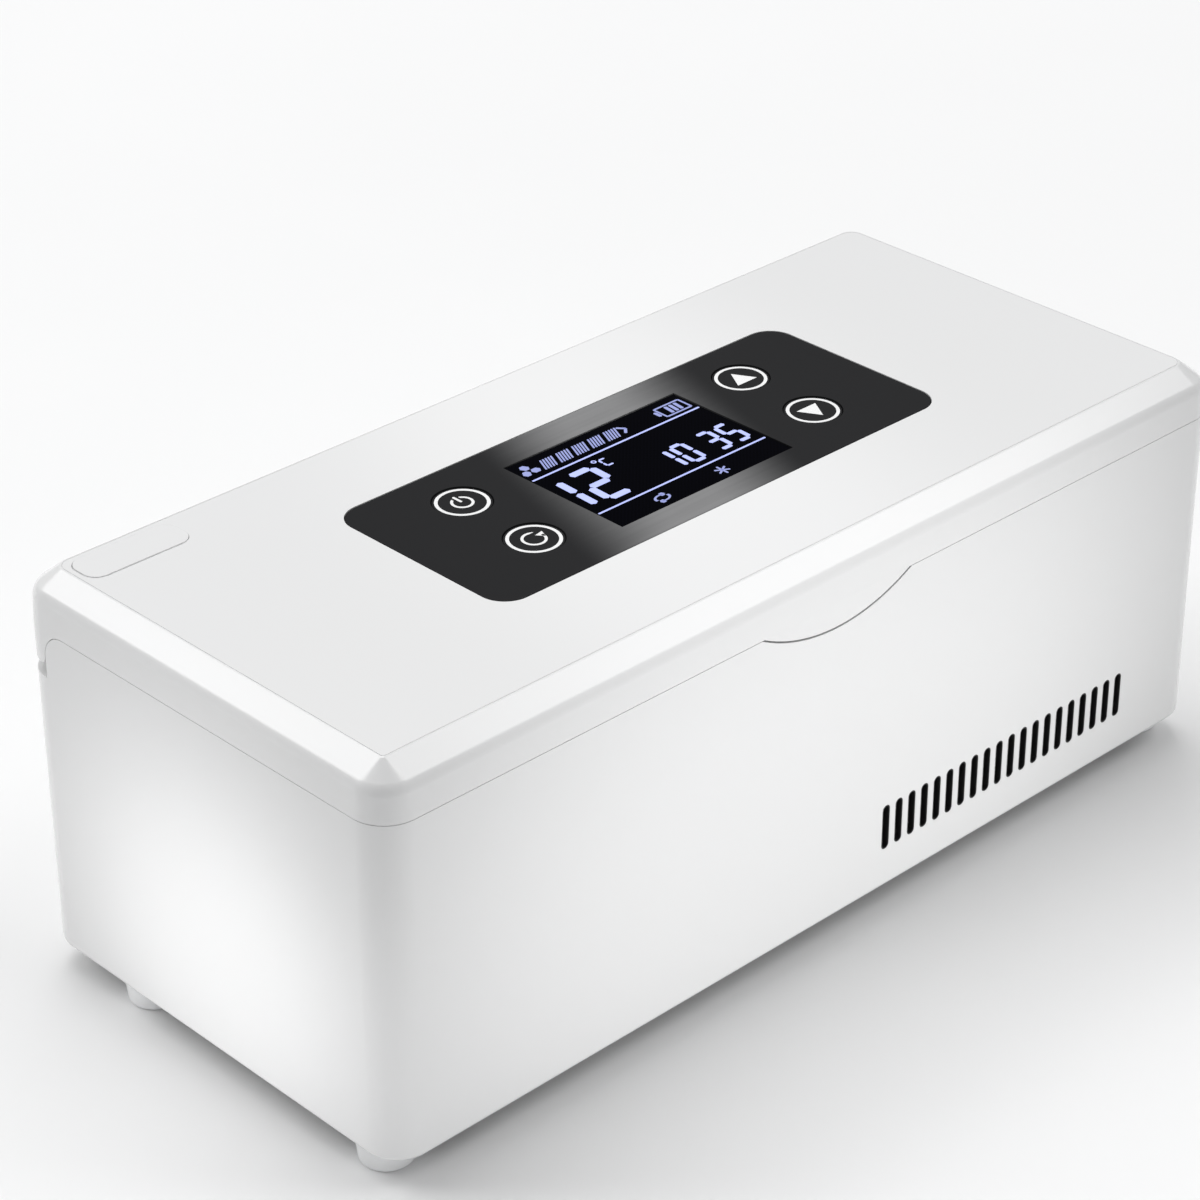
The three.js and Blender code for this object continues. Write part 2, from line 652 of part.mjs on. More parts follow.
function fanFrame() {
  const block = prismZ(plateShape(FAN_SIZE, FAN_SIZE, FAN_CORNER, coolerX, chamberY), fanBottom, fanTop);
  const duct = rod(ductRadius, fanBottom - REACH, fanTop + REACH, coolerX, chamberY, RING_FACETS);
  const cornerPlace = FAN_SIZE / 2 - FAN_CORNER;
  const cornerHoles = signs.flatMap((x) => signs.map((y) =>
    rod(FAN_CORNER / 2, fanBottom - REACH, fanTop + REACH,
      coolerX + x * cornerPlace, chamberY + y * cornerPlace, PIN_FACETS)));
  const mountTop = fanBottom + FAN_STRUT;
  const mount = rod(FAN_HUB_RADIUS, fanBottom, mountTop, coolerX, chamberY);
  const struts = [0, 1, 2].map((i) => {
    const bar = new THREE.BoxGeometry(ductRadius + FAN_RIM / 2, FAN_STRUT, FAN_STRUT);
    bar.translate((ductRadius + FAN_RIM / 2) / 2, 0, 0).rotateZ((i + 0.25) * 2 * Math.PI / 3);
    return solid(bar.translate(coolerX, chamberY, fanBottom + FAN_STRUT / 2));
  });
  return join([cut(block, [duct, ...cornerHoles]), mount, ...struts]);
}

// One blade, lofted from hub to tip with its pitch easing outwards.
function fanBlade(middle) {
  const stations = [0, 1 / 3, 2 / 3, 1];
  const root = FAN_HUB_RADIUS - FAN_BLADE_THICKNESS;
  const tip = ductRadius - FAN_TIP_GAP;
  const rings = stations.map((share) => {
    const radius = root + share * (tip - root);
    const pitch = THREE.MathUtils.degToRad(FAN_PITCH_ROOT + share * (FAN_PITCH_TIP - FAN_PITCH_ROOT));
    const chord = new THREE.Vector3(0, Math.cos(pitch), Math.sin(pitch));
    const normal = new THREE.Vector3(0, -Math.sin(pitch), Math.cos(pitch));
    return [[-1, -1], [1, -1], [1, 1], [-1, 1]].map(([along, across]) =>
      new THREE.Vector3(radius, 0, middle)
        .addScaledVector(chord, along * FAN_BLADE_CHORD / 2)
        .addScaledVector(normal, across * FAN_BLADE_THICKNESS / 2));
  });
  return loft(rings);
}

function fanRotor() {
  const low = fanBottom + FAN_STRUT + FIT_GAP;
  const high = fanTop - FIT_GAP;
  const dome = FAN_HUB_RADIUS - FAN_BLADE_THICKNESS;
  const hub = turned([[0, low], [FAN_HUB_RADIUS, low], [FAN_HUB_RADIUS, high - FAN_BLADE_THICKNESS],
    [dome, high], [0, high]]);
  const blades = [];
  for (let i = 0; i < FAN_BLADES; i += 1) {
    blades.push(fanBlade((low + high) / 2).rotate([0, 0, i * 360 / FAN_BLADES]));
  }
  const room = rod(FAN_SIZE, low, high);
  return join([hub, ...blades]).intersect(room).translate([coolerX, chamberY, 0]);
}

// Small bead against the tray, beside the cold plate.
function temperatureSensor() {
  const x = coolerX - MODULE_SIZE / 2 - SENSOR_RADIUS - FIT_GAP;
  return prismY(discShape(SENSOR_RADIUS, x, trayBottom - SENSOR_RADIUS),
    chamberY - SENSOR_LENGTH / 2, chamberY + SENSOR_LENGTH / 2, PIN_FACETS);
}

const cellPlaces = Array.from({ length: CELL_COUNT }, (_, i) => (i - (CELL_COUNT - 1) / 2) * CELL_PITCH);

// One cell, lying along X from the origin, with its small raised end.
function batteryCell() {
  return turned([
    [0, 0], [CELL_RADIUS, 0], [CELL_RADIUS, CELL_LENGTH - CELL_NUB_HEIGHT],
    [CELL_NUB_RADIUS, CELL_LENGTH - CELL_NUB_HEIGHT], [CELL_NUB_RADIUS, CELL_LENGTH], [0, CELL_LENGTH],
  ]).rotate([0, 90, 0]);
}

function batteryCradle() {
  const low = coverTop + FIT_GAP;
  const half = (CELL_COUNT - 1) * CELL_PITCH / 2 + CELL_RADIUS + cradleMargin;
  const block = prismZ(frameShape(cradleLeft, cradleRight, -half, half, CRADLE_RIM),
    low, low + CRADLE_FLOOR + CRADLE_DEPTH, SLOT_END);
  const beds = cellPlaces.map((y) => prismX(discShape(CELL_RADIUS + CELL_CLEARANCE, y, cellZ),
    cellEndX - CELL_CLEARANCE, cellEndX + CELL_LENGTH + CELL_CLEARANCE, ROUND));
  return cut(block, beds);
}

function mainBoard() {
  const low = coverTop + MAIN_BOARD_STANDOFF;
  return prismZ(plateShape(mainBoardLength, MAIN_BOARD_WIDTH, BOARD_MARGIN, mainBoardX, mainBoardY),
    low, low + BOARD_THICKNESS, SLOT_END);
}

// Charging socket: a block on the board, with a round nose that fills the hole in the rear wall.
function dcJack() {
  const low = jackZ - JACK_HEIGHT / 2;
  const rear = mainBoardRear;
  const face = halfWidth - JACK_SETBACK;
  const block = box(mainBoardX - JACK_WIDTH / 2, mainBoardX + JACK_WIDTH / 2, rear - JACK_DEPTH, rear,
    low, low + JACK_HEIGHT);
  const nose = prismY(discShape(JACK_NOSE_RADIUS, mainBoardX, jackZ), rear - FIT_GAP, face, ROUND);
  const bore = prismY(discShape(JACK_BORE_RADIUS, mainBoardX, jackZ),
    face - JACK_BORE_DEPTH, face + REACH, ROUND);
  const pin = prismY(discShape(JACK_PIN_RADIUS, mainBoardX, jackZ),
    face - JACK_BORE_DEPTH - FIT_GAP, face - JACK_BORE_RADIUS, PIN_FACETS);
  return block.add(nose).subtract(bore).add(pin);
}

function hingePin() {
  const half = 1.5 * KNUCKLE_LENGTH + FIT_GAP;
  return prismX(discShape(PIN_RADIUS), -half, half, PIN_FACETS);
}

const panelShape = (margin) => plateShape(PANEL_LENGTH + 2 * margin, PANEL_WIDTH + 2 * margin,
  PANEL_RADIUS + margin, 0, PANEL_Y);

const lcdBox = (margin, low, high) => box(-LCD_LENGTH / 2 - margin, LCD_LENGTH / 2 + margin,
  LCD_Y - LCD_WIDTH / 2 - margin, LCD_Y + LCD_WIDTH / 2 + margin, low, high);

const keyPlaces = signs.flatMap((x) => signs.map((y) => [x * keyX, KEY_Y + y * keyY]));

const keyHoles = (low, high) => keyPlaces.map(([x, y]) =>
  rod(KEY_RADIUS + PANEL_GAP, low, high, x, y, KEY_FACETS));

const boardHalfX = PANEL_LENGTH / 2 - BOARD_MARGIN;
const boardHalfY = PANEL_WIDTH / 2 - BOARD_MARGIN;
const boardPosts = signs.flatMap((x) => signs.map((y) => [
  x * (boardHalfX - BOARD_POST_RADIUS), PANEL_Y + y * (boardHalfY - BOARD_POST_RADIUS)]));

function lidRelief() {
  const left = CHAMFER_INSET - halfLength + RELIEF_MARGIN;
  const rear = halfWidth - CHAMFER_INSET - RELIEF_MARGIN;
  const shape = frameShape(left, left + RELIEF_LENGTH, rear - RELIEF_WIDTH, rear, RELIEF_RADIUS);
  return prismZ(shape, topZ - RELIEF_DEPTH, topZ + REACH);
}

// Inside of the lid: upright walls, then a slope that follows the chamfer up to the ceiling.
function lidHollow() {
  const level = (inset, rearInset, z) => ring(inset - halfLength, halfLength - inset,
    inset - halfWidth, halfWidth - rearInset, CORNER_RADIUS - WALL, z);
  const sloped = CHAMFER_INSET + WALL / 2;
  return loft([
    level(WALL, REAR_WALL, rearSkirtBottom - REACH),
    level(WALL, REAR_WALL, lidCeiling - CHAMFER_HEIGHT),
    level(sloped, sloped, lidCeiling),
  ]);
}

function lidCover() {
  const outside = loft([
    outerRing(0, CORNER_RADIUS, rearSkirtBottom),
    outerRing(0, CORNER_RADIUS, seamZ),
    outerRing(SKIRT_DRAFT, CORNER_RADIUS - SKIRT_DRAFT, chamferZ),
    outerRing(CHAMFER_INSET, CREASE_RADIUS, topZ),
  ]);
  const shell = cut(outside, [lidUnderside(), lidHollow()]);
  const tab = prismY(tabLens(0, lidBottom + SKIRT_HEIGHT / 2), -halfWidth, TAB_THICKNESS - halfWidth, ROUND)
    .intersect(box(-halfLength, halfLength, -halfWidth, halfWidth, 0, lidBottom + SEAM_GAP));
  const posts = boardPosts.map(([x, y]) =>
    rod(BOARD_POST_RADIUS, boardTop, lidCeiling + SEAM_GAP, x, y, PIN_FACETS));
  const bosses = linerScrewPlaces.map(([x, y]) =>
    rod(bossRadius, linerPlateTop, lidCeiling + SEAM_GAP, x, y).subtract(
      rod(SCREW_RADIUS + SCREW_CLEARANCE, linerPlateTop - REACH, lidCeiling, x, y, PIN_FACETS)));
  const whole = join([shell, tab, ...posts, ...bosses, ...hingePlaces.map(lidHinge)]);
  return cut(whole, [
    prismZ(panelShape(PANEL_GAP), panelBottom, topZ + REACH),
    lcdBox(PANEL_GAP, lidCeiling - SEAM_GAP, topZ + REACH),
    ...keyHoles(lidCeiling - SEAM_GAP, topZ + REACH),
    ...hingePlaces.map(pinBore),
    lidRelief(),
  ]);
}

function controlPanel() {
  const plate = prismZ(panelShape(0), panelBottom, topZ);
  return cut(plate, [lcdBox(PANEL_GAP, 0, topZ + REACH), ...keyHoles(0, topZ + REACH)]);
}

function lcdModule() {
  return lcdBox(LCD_BORDER, boardTop, boardTop + LCD_BODY_THICKNESS)
    .add(lcdBox(0, boardTop, topZ - PANEL_GAP));
}

function displayBoard() {
  return prismZ(frameShape(-boardHalfX, boardHalfX, PANEL_Y - boardHalfY, PANEL_Y + boardHalfY, BOARD_MARGIN),
    boardTop - BOARD_THICKNESS, boardTop, SLOT_END);
}

// A round key with a softened rim and a stem down towards its switch.
const keyBottom = topZ - PANEL_GAP - KEY_THICKNESS;
const switchTop = keyBottom - KEY_TRAVEL - PANEL_GAP;

function keyCap() {
  const top = topZ - PANEL_GAP;
  return turned([
    [0, keyBottom], [KEY_RADIUS, keyBottom], [KEY_RADIUS, top - PANEL_GAP],
    [KEY_RADIUS - PANEL_GAP, top], [0, top],
  ], KEY_FACETS);
}

function keySwitch() {
  const half = SWITCH_SIZE / 2;
  const housing = box(-half, half, -half, half, boardTop, boardTop + SWITCH_HEIGHT);
  return housing.add(rod(KEY_STEM_RADIUS, boardTop, switchTop, 0, 0, PIN_FACETS));
}

const linerShape = (margin) => frameShape(
  WALL + LINER_CLEARANCE + margin - halfLength, halfLength - WALL - LINER_CLEARANCE - margin,
  deckFront + LINER_CLEARANCE + margin, deckRear - LINER_CLEARANCE - margin,
  CORNER_RADIUS - WALL - LINER_CLEARANCE - margin);

// Pan that plugs the body's mouth, with a flange that fills the lid's skirt.
function lidLiner() {
  const flange = prismZ(insetShape(WALL + FIT_GAP, halfWidth - WALL - FIT_GAP), flangeBottom, flangeTop);
  const pan = prismZ(linerShape(0), linerBottom, flangeTop);
  const pocket = prismZ(linerShape(LINER_WALL), linerPlateTop, flangeTop + REACH);
  const screwHoles = linerScrewPlaces.map(([x, y]) =>
    rod(SCREW_RADIUS + SCREW_CLEARANCE, linerBottom - REACH, linerPlateTop + REACH, x, y, PIN_FACETS));
  const magnetHole = rod(MAGNET_RADIUS + FIT_GAP, linerBottom - REACH, linerBottom + MAGNET_THICKNESS,
    TAB_CENTRE_X, magnetY);
  return cut(flange.add(pan), [pocket, ...screwHoles, magnetHole]);
}

function lidInsulation() {
  const sheet = prismZ(linerShape(LINER_WALL + FIT_GAP), linerPlateTop, linerPlateTop + LID_FOAM_THICKNESS);
  return cut(sheet, linerScrewPlaces.map(([x, y]) =>
    rod(bossRadius + FIT_GAP, linerPlateTop - REACH, flangeTop + REACH, x, y)));
}

function lidGasket() {
  const strip = chamberShape(GASKET_OFFSET + GASKET_WIDTH);
  strip.holes.push(chamberShape(GASKET_OFFSET));
  return prismZ(strip, linerBottom - GASKET_THICKNESS, linerBottom);
}

const magnet = (low) => rod(MAGNET_RADIUS, low, low + MAGNET_THICKNESS, TAB_CENTRE_X, magnetY);

// Finishes
function finish(color, roughness, metalness = 0) {
  return new THREE.MeshStandardMaterial({ color, roughness, metalness });
}

const whiteGloss = finish(0xf2f2f2, 0.25);
const whitePlastic = finish(0xe6e7e8, 0.5);
const blackGloss = finish(0x2b2b2d, 0.2);
const displayBlack = finish(0x08080c, 0.15);
const blackPlastic = finish(0x1b1b1d, 0.6);
const aluminium = finish(0xc6c9cc, 0.35, 1);
const steel = finish(0xb4b7ba, 0.3, 1);
const foam = finish(0xe9e6dc, 0.95);
const silicone = finish(0xe2e3e4, 0.7);
const boardGreen = finish(0x2d6a3e, 0.6);
const ceramic = finish(0xf0eee6, 0.7);
const cellWrap = finish(0x3f78b5, 0.45);

// Assembly: the body with what it holds, and the lid with what it carries.
const body = new THREE.Group();
const lid = new THREE.Group();

function place(group, name, shape, material, x = 0, y = 0, z = 0) {
  const mesh = new THREE.Mesh(geometryOf(shape), material);
  mesh.name = name;
  mesh.position.set(x, y, z);
  group.add(mesh);
}

place(body, 'body_shell', bodyShell(), whiteGloss);
place(body, 'bottom_cover', bottomCover(), whitePlastic);
place(body, 'inner_deck', innerDeck(), whitePlastic);
place(body, 'chamber_tray', chamberTray(), aluminium);
place(body, 'chamber_insulation', chamberInsulation(), foam);
place(body, 'cold_plate', modulePlate(moduleTop, coldPlateTop), aluminium);
place(body, 'peltier_module', peltierModule(), ceramic);
place(body, 'heat_sink', heatSink(), aluminium);
place(body, 'fan_frame', fanFrame(), blackPlastic);
place(body, 'fan_rotor', fanRotor(), blackPlastic);
place(body, 'temperature_sensor', temperatureSensor(), blackPlastic);
place(body, 'battery_cradle', batteryCradle(), blackPlastic);
place(body, 'main_board', mainBoard(), boardGreen);
place(body, 'dc_jack', dcJack(), blackPlastic);
place(body, 'catch_magnet_deck', magnet(deckTop - MAGNET_THICKNESS), steel);

cellPlaces.forEach((y, i) => {
  place(body, `battery_cell_${i + 1}`, batteryCell(), cellWrap, cellEndX, y, cellZ);
});

for (const [side, x] of [['left', -footX], ['right', footX]]) {
  place(body, `foot_front_${side}`, foot(), silicone, x, FOOT_INSET_FRONT - halfWidth);
  place(body, `foot_rear_${side}`, foot(), silicone, x, halfWidth - FOOT_INSET_REAR);
}

coverScrewPlaces.forEach(([x, y], i) => {
  place(body, `cover_screw_${i + 1}`, screw(COVER_SCREW_LENGTH), steel, x, y, coverBottom + COUNTERBORE);
});

place(body, 'hinge_pin_left', hingePin(), steel, hingePlaces[0], hingeY, hingeZ);
place(body, 'hinge_pin_right', hingePin(), steel, hingePlaces[1], hingeY, hingeZ);

place(lid, 'lid_cover', lidCover(), whiteGloss);
place(lid, 'control_panel', controlPanel(), blackGloss);
place(lid, 'lcd_module', lcdModule(), displayBlack);
place(lid, 'display_board', displayBoard(), boardGreen);
place(lid, 'lid_liner', lidLiner(), whitePlastic);
place(lid, 'lid_insulation', lidInsulation(), foam);
place(lid, 'lid_gasket', lidGasket(), silicone);
place(lid, 'catch_magnet_lid', magnet(linerBottom), steel);

linerScrewPlaces.forEach(([x, y], i) => {
  place(lid, `liner_screw_${i + 1}`, screw(LINER_SCREW_LENGTH), steel, x, y, linerBottom);
});

['auto', 'power', 'down', 'up'].forEach((name, i) => {
  const [x, y] = keyPlaces[i];
  place(lid, `key_${name}`, keyCap(), blackGloss, x, y);
  place(lid, `key_switch_${i + 1}`, keySwitch(), blackPlastic, x, y);
});

const insulinCase = new THREE.Group();
insulinCase.add(body, lid);

export default insulinCase;
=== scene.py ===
# %% [markdown]
# # Insulin cooling case
#
# A small thermoelectric cooler for insulin pens: a glossy white box with a hinged lid, a black control panel
# in the lid and a row of warm-air slots low at the front. The CAD model is the frame: it says where each piece
# is, how big it is and what it turns on. This lesson gives that frame its looks. Each step says what the piece
# is on the real case, how it could be made in Blender, and why one way was chosen.

# %% The frame
import json
import math

import bmesh
import bpy
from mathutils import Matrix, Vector


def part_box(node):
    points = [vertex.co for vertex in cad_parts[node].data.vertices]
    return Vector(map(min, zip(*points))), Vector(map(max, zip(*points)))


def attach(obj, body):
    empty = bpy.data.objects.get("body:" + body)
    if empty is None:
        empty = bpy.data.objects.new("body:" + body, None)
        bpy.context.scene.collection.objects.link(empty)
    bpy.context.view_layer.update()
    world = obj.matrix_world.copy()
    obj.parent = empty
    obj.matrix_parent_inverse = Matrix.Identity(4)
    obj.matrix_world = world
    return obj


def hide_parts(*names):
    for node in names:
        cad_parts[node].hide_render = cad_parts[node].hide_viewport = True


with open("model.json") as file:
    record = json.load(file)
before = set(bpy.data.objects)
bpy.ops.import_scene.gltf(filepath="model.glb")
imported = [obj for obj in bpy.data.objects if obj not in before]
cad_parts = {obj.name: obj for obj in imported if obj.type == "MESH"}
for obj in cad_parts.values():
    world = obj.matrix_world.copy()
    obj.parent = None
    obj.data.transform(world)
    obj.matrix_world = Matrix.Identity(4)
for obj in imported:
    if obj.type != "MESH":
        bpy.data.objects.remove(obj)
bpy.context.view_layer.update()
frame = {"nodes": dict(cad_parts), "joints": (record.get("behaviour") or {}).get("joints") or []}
nodes = frame["nodes"]
joints = {joint["name"]: joint for joint in frame["joints"]}
MM = 0.001


def middle_of(node):
    """The middle of a CAD node's box."""
    low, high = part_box(node)
    return (low + high) / 2


# %% [markdown]
# ## Working by operators
#
# By hand, modelling is a round of select, operate, look. In a script the looking falls away, so selecting has
# to be exact: an operator acts on all that is selected, and a freshly loaded frame is selected as a whole.
# The helpers below always clear the selection first, then pick edges or faces by where they are, which way they
# run and how sharply they turn. That survives a change of size, which picking by number would not. Two places closer
# than a hair count as one, and an edge is sharp where its two faces turn by more than 50 degrees.

# %% Selecting by place
HAIR = 0.01 * MM
SHARP = math.radians(50)
ALONG = 0.99


def clear():
    """Leaves nothing selected."""
    bpy.ops.object.select_all(action="DESELECT")


def only(piece):
    """Leaves one piece selected and active."""
    clear()
    piece.select_set(True)
    bpy.context.view_layer.objects.active = piece


def open_mesh(piece, kind):
    """Enters edit mode with nothing selected, ready to pick points, edges or faces."""
    only(piece)
    bpy.ops.object.mode_set(mode="EDIT")
    bpy.ops.mesh.select_mode(type=kind)
    bpy.ops.mesh.select_all(action="DESELECT")
    return bmesh.from_edit_mesh(piece.data)


def close_mesh():
    bpy.ops.object.mode_set(mode="OBJECT")


def pick_edges(mesh, test):
    """Selects each edge whose middle, direction and turn between its two faces pass the test."""
    for edge in mesh.edges:
        start, end = (vertex.co for vertex in edge.verts)
        if test((start + end) / 2, (end - start).normalized(), edge.calc_face_angle(0.0)):
            edge.select_set(True)


def pick_faces(mesh, test):
    """Selects each face whose middle and normal pass the test."""
    for face in mesh.faces:
        if test(face.calc_center_median(), face.normal):
            face.select_set(True)


def within(x=None, y=None, z=None, sharp=SHARP):
    """A test for the sharp edges whose middle is inside the range that is given for an axis."""
    ranges = [(axis, span) for axis, span in enumerate((x, y, z)) if span]
    return lambda middle, way, turn: turn >= sharp and all(
        low - HAIR < middle[axis] < high + HAIR for axis, (low, high) in ranges)


def level(height, sharp=0.0):
    """A test for the edges at one height, or for the sharp ones among them."""
    return within(z=(height, height), sharp=sharp)


def along(axis):
    """A test for the edges that run along an axis, by the cosine between them."""
    return lambda middle, way, turn: abs(way[axis]) > ALONG


def up(height):
    return Vector((0, 0, height))


def settle(name):
    """Names the active object and puts its place, turn and scale into its mesh."""
    piece = bpy.context.object
    bpy.ops.object.transform_apply(location=True, rotation=True, scale=True)
    piece.name = name
    piece.data.name = name
    return piece


print("Selecting helpers are ready")

# %% [markdown]
# ## Blocks, rods and booleans
#
# A moulded case is mostly blocks with rounded upright corners, holes and slots. Each could be drawn as one
# outline and pushed up, but then every hole has to be in the outline from the start. Here a cube or a cylinder
# is added at its size and place, its edges are rounded with the bevel operator, and holes are cut with a
# Boolean modifier that is applied at once. So the steps stay in the order in which a machinist would take them.

# %% Making and cutting
CORNER_STEPS = 20
ROD_SIDES = 64
CRUMB = 0.001 * MM
SMOOTH_ANGLE = math.radians(32)


def round_edges(piece, test, width, steps):
    """Rounds the edges that pass the test."""
    mesh = open_mesh(piece, "EDGE")
    pick_edges(mesh, test)
    bpy.ops.mesh.bevel(offset=width, segments=steps, clamp_overlap=True)
    close_mesh()


def block(name, low, high, radius=0.0, steps=CORNER_STEPS):
    """A cube from one corner to the other, with its upright edges rounded in plan."""
    low, high = Vector(low), Vector(high)
    clear()
    bpy.ops.mesh.primitive_cube_add(size=1, location=(low + high) / 2, scale=high - low)
    piece = settle(name)
    if radius:
        round_edges(piece, along(2), radius, steps)
    return piece


def rod(name, radius, start, end, sides=ROD_SIDES):
    """A cylinder from one point to another."""
    start, end = Vector(start), Vector(end)
    way = end - start
    clear()
    bpy.ops.mesh.primitive_cylinder_add(
        vertices=sides, radius=radius, depth=way.length, location=(start + end) / 2,
        rotation=way.to_track_quat("Z", "Y").to_euler())
    return settle(name)


def pillar(name, radius, place, low, high, sides=ROD_SIDES):
    """An upright cylinder over a place in the plan, from one height to another."""
    return rod(name, radius, (place.x, place.y, low), (place.x, place.y, high), sides)


def combine(piece, tool, operation, solver="EXACT"):
    """Joins a tool on, cuts it away or keeps what both share, and puts the tool away."""
    only(piece)
    modifier = piece.modifiers.new("combine", "BOOLEAN")
    modifier.operation = operation
    modifier.solver = solver
    modifier.object = tool
    bpy.ops.object.modifier_apply(modifier=modifier.name)
    bpy.data.objects.remove(tool)


def cut(piece, *tools, solver="EXACT"):
    """Cuts tools away, one after another."""
    for tool in tools:
        combine(piece, tool, "DIFFERENCE", solver)


def copy_of(piece, name, move):
    """A copy with its own mesh, moved to its place."""
    only(piece)
    bpy.ops.object.duplicate()
    bpy.ops.transform.translate(value=move)
    return settle(name)


def gather(name, parts):
    """Joins loose parts into one object."""
    clear()
    for part in parts:
        part.select_set(True)
    bpy.context.view_layer.objects.active = parts[0]
    bpy.ops.object.join()
    return settle(name)


def tunnel(piece, rim, axis=2):
    """Makes a ring of a disc or plate: insets its two ends by the rim, and bridges them."""
    mesh = open_mesh(piece, "FACE")
    pick_faces(mesh, lambda middle, normal: abs(normal[axis]) > ALONG)
    bpy.ops.mesh.inset(thickness=rim)
    bpy.ops.mesh.bridge_edge_loops()
    close_mesh()


def step_up(piece, inset, rise):
    """Insets the top and extrudes what is left of it, up or down."""
    mesh = open_mesh(piece, "FACE")
    pick_faces(mesh, lambda middle, normal: normal.z > ALONG)
    bpy.ops.mesh.inset(thickness=inset)
    bpy.ops.mesh.extrude_region_move(TRANSFORM_OT_translate={"value": (0, 0, rise)})
    close_mesh()


def smooth(piece):
    """Clears the crumbs that cuts leave, shades smooth, keeps real edges sharp, and lets wide flats stay flat."""
    open_mesh(piece, "VERT")
    bpy.ops.mesh.select_all(action="SELECT")
    bpy.ops.mesh.remove_doubles(threshold=CRUMB)
    bpy.ops.mesh.dissolve_degenerate(threshold=CRUMB)
    close_mesh()
    bpy.ops.object.shade_smooth_by_angle(angle=SMOOTH_ANGLE)
    modifier = piece.modifiers.new("flats", "WEIGHTED_NORMAL")
    modifier.keep_sharp = True
    bpy.ops.object.modifier_apply(modifier=modifier.name)


def report(piece):
    size = piece.dimensions / MM
    print(f"{piece.name}: {len(piece.data.polygons)} faces, {size.x:.1f} x {size.y:.1f} x {size.z:.1f} mm")


print("Making helpers are ready")

# %% [markdown]
# ## Finishes as sums
#
# A finish is a Principled shader whose colour, roughness and bump change a little over the surface, as they do
# on every real moulding. Drawing each one in the node editor is slow and hard to read later. Here a small class
# wraps one socket, and Python's own operators add the Math nodes, so a mask reads as a sum. Every other node
# comes from one method, and another does what all finishes share: two tones, a roughness and a relief. All patterns
# are on Object coordinates, in metres, so a scale of 1000 is one to a millimetre.

# %% Shader sums
class Wire:
    """One shader socket that can stand in a sum."""

    def __init__(self, finish, socket):
        self.finish = finish
        self.socket = socket

    def __add__(self, other):
        return self.finish.sum("ADD", self, other)

    __radd__ = __add__

    def __sub__(self, other):
        return self.finish.sum("SUBTRACT", self, other)

    def __rsub__(self, other):
        return self.finish.sum("SUBTRACT", other, self)

    def __mul__(self, other):
        return self.finish.sum("MULTIPLY", self, other)

    __rmul__ = __mul__

    def __abs__(self):
        return self.finish.node("Math", {"operation": "ABSOLUTE"}, {0: self})


class Finish:
    """One material: its shader's constants, and the nodes that vary the rest."""

    MIX_FIRST, MIX_SECOND, MIX_RESULT = 6, 7, 2

    def __init__(self, name, constants):
        self.material = bpy.data.materials.new(name)
        self.material.use_nodes = True
        self.tree = self.material.node_tree
        self.shader = self.tree.nodes["Principled BSDF"]
        self.feed(self.shader, constants)

    def feed(self, node, values):
        """Sets each socket to a number or colour, or links it."""
        for key, value in values.items():
            if isinstance(value, Wire):
                self.tree.links.new(value.socket, node.inputs[key])
            else:
                node.inputs[key].default_value = value

    def node(self, kind, settings=None, values=None, output=0):
        """Any node: its type, its settings, its sockets, and the name or number of the output that is wanted."""
        node = self.tree.nodes.new("ShaderNode" + kind)
        for key, value in (settings or {}).items():
            setattr(node, key, value)
        self.feed(node, values or {})
        return Wire(self, node.outputs[output])

    def sum(self, operation, first, second):
        return self.node("Math", {"operation": operation}, {0: first, 1: second})

    def place(self, axis=None):
        """Where a point is on the piece, as a vector or as one of its parts."""
        spot = self.node("TexCoord", output="Object")
        return spot if axis is None else self.node("SeparateXYZ", None, {0: spot}, axis)

    def noise(self, scale, detail=2.0, stretch=(1, 1, 1)):
        spot = self.node("Mapping", None, {"Vector": self.place(), "Scale": stretch})
        return self.node("TexNoise", None, {"Vector": spot, "Scale": scale, "Detail": detail})

    def ease(self, value, low, high):
        """Runs smoothly from 0 at low to 1 at high."""
        settings = {"interpolation_type": "SMOOTHSTEP"}
        return self.node("MapRange", settings, {"Value": value, "From Min": low, "From Max": high})

    def mix(self, share, first, second):
        sockets = {0: share, self.MIX_FIRST: first, self.MIX_SECOND: second}
        return self.node("Mix", {"data_type": "RGBA"}, sockets, self.MIX_RESULT)

    def bump(self, height, depth):
        return self.node("Bump", None, {"Height": height, "Distance": depth, "Strength": 1.0})

    def vary(self, share, first, second, roughness, relief=None, depth=0.0):
        """Colours the surface between two tones, sets its roughness, and gives it a relief if there is one."""
        self.feed(self.shader, {"Base Color": self.mix(share, first, second), "Roughness": roughness})
        if relief:
            self.feed(self.shader, {"Normal": self.bump(relief, depth)})
        return self.material


def grey(value):
    return (value, value, value, 1)


print("Shader sums are ready")

# %% [markdown]
# ## White plastics
#
# The shells are polished white ABS: glossy, and nearly even, with only slow drifts in colour and gloss. The deck,
# the liner and the bottom cover are the same plastic from a spark-eroded mould, so they are satin, with a fine
# grain. One function makes both, because only the gloss and the grain differ.

# %% White shell, satin white and milky silicone
def white_plastic(name, tone, roughness, coat, grain_depth=0.0):
    finish = Finish(name, {"IOR": 1.49, "Coat Weight": coat, "Coat Roughness": 0.06})
    clouds = finish.noise(14)
    grain = finish.noise(2600) if grain_depth else None
    return finish.vary(clouds, (tone, tone, tone * 1.004, 1), (tone * 0.985, tone * 0.985, tone * 0.98, 1),
                       roughness + 0.04 * (clouds - 0.5), grain, grain_depth)


shell_white = white_plastic("shell_white", tone=0.80, roughness=0.234, coat=0.2)
satin_white = white_plastic("satin_white", tone=0.74, roughness=0.48, coat=0.0, grain_depth=0.006 * MM)


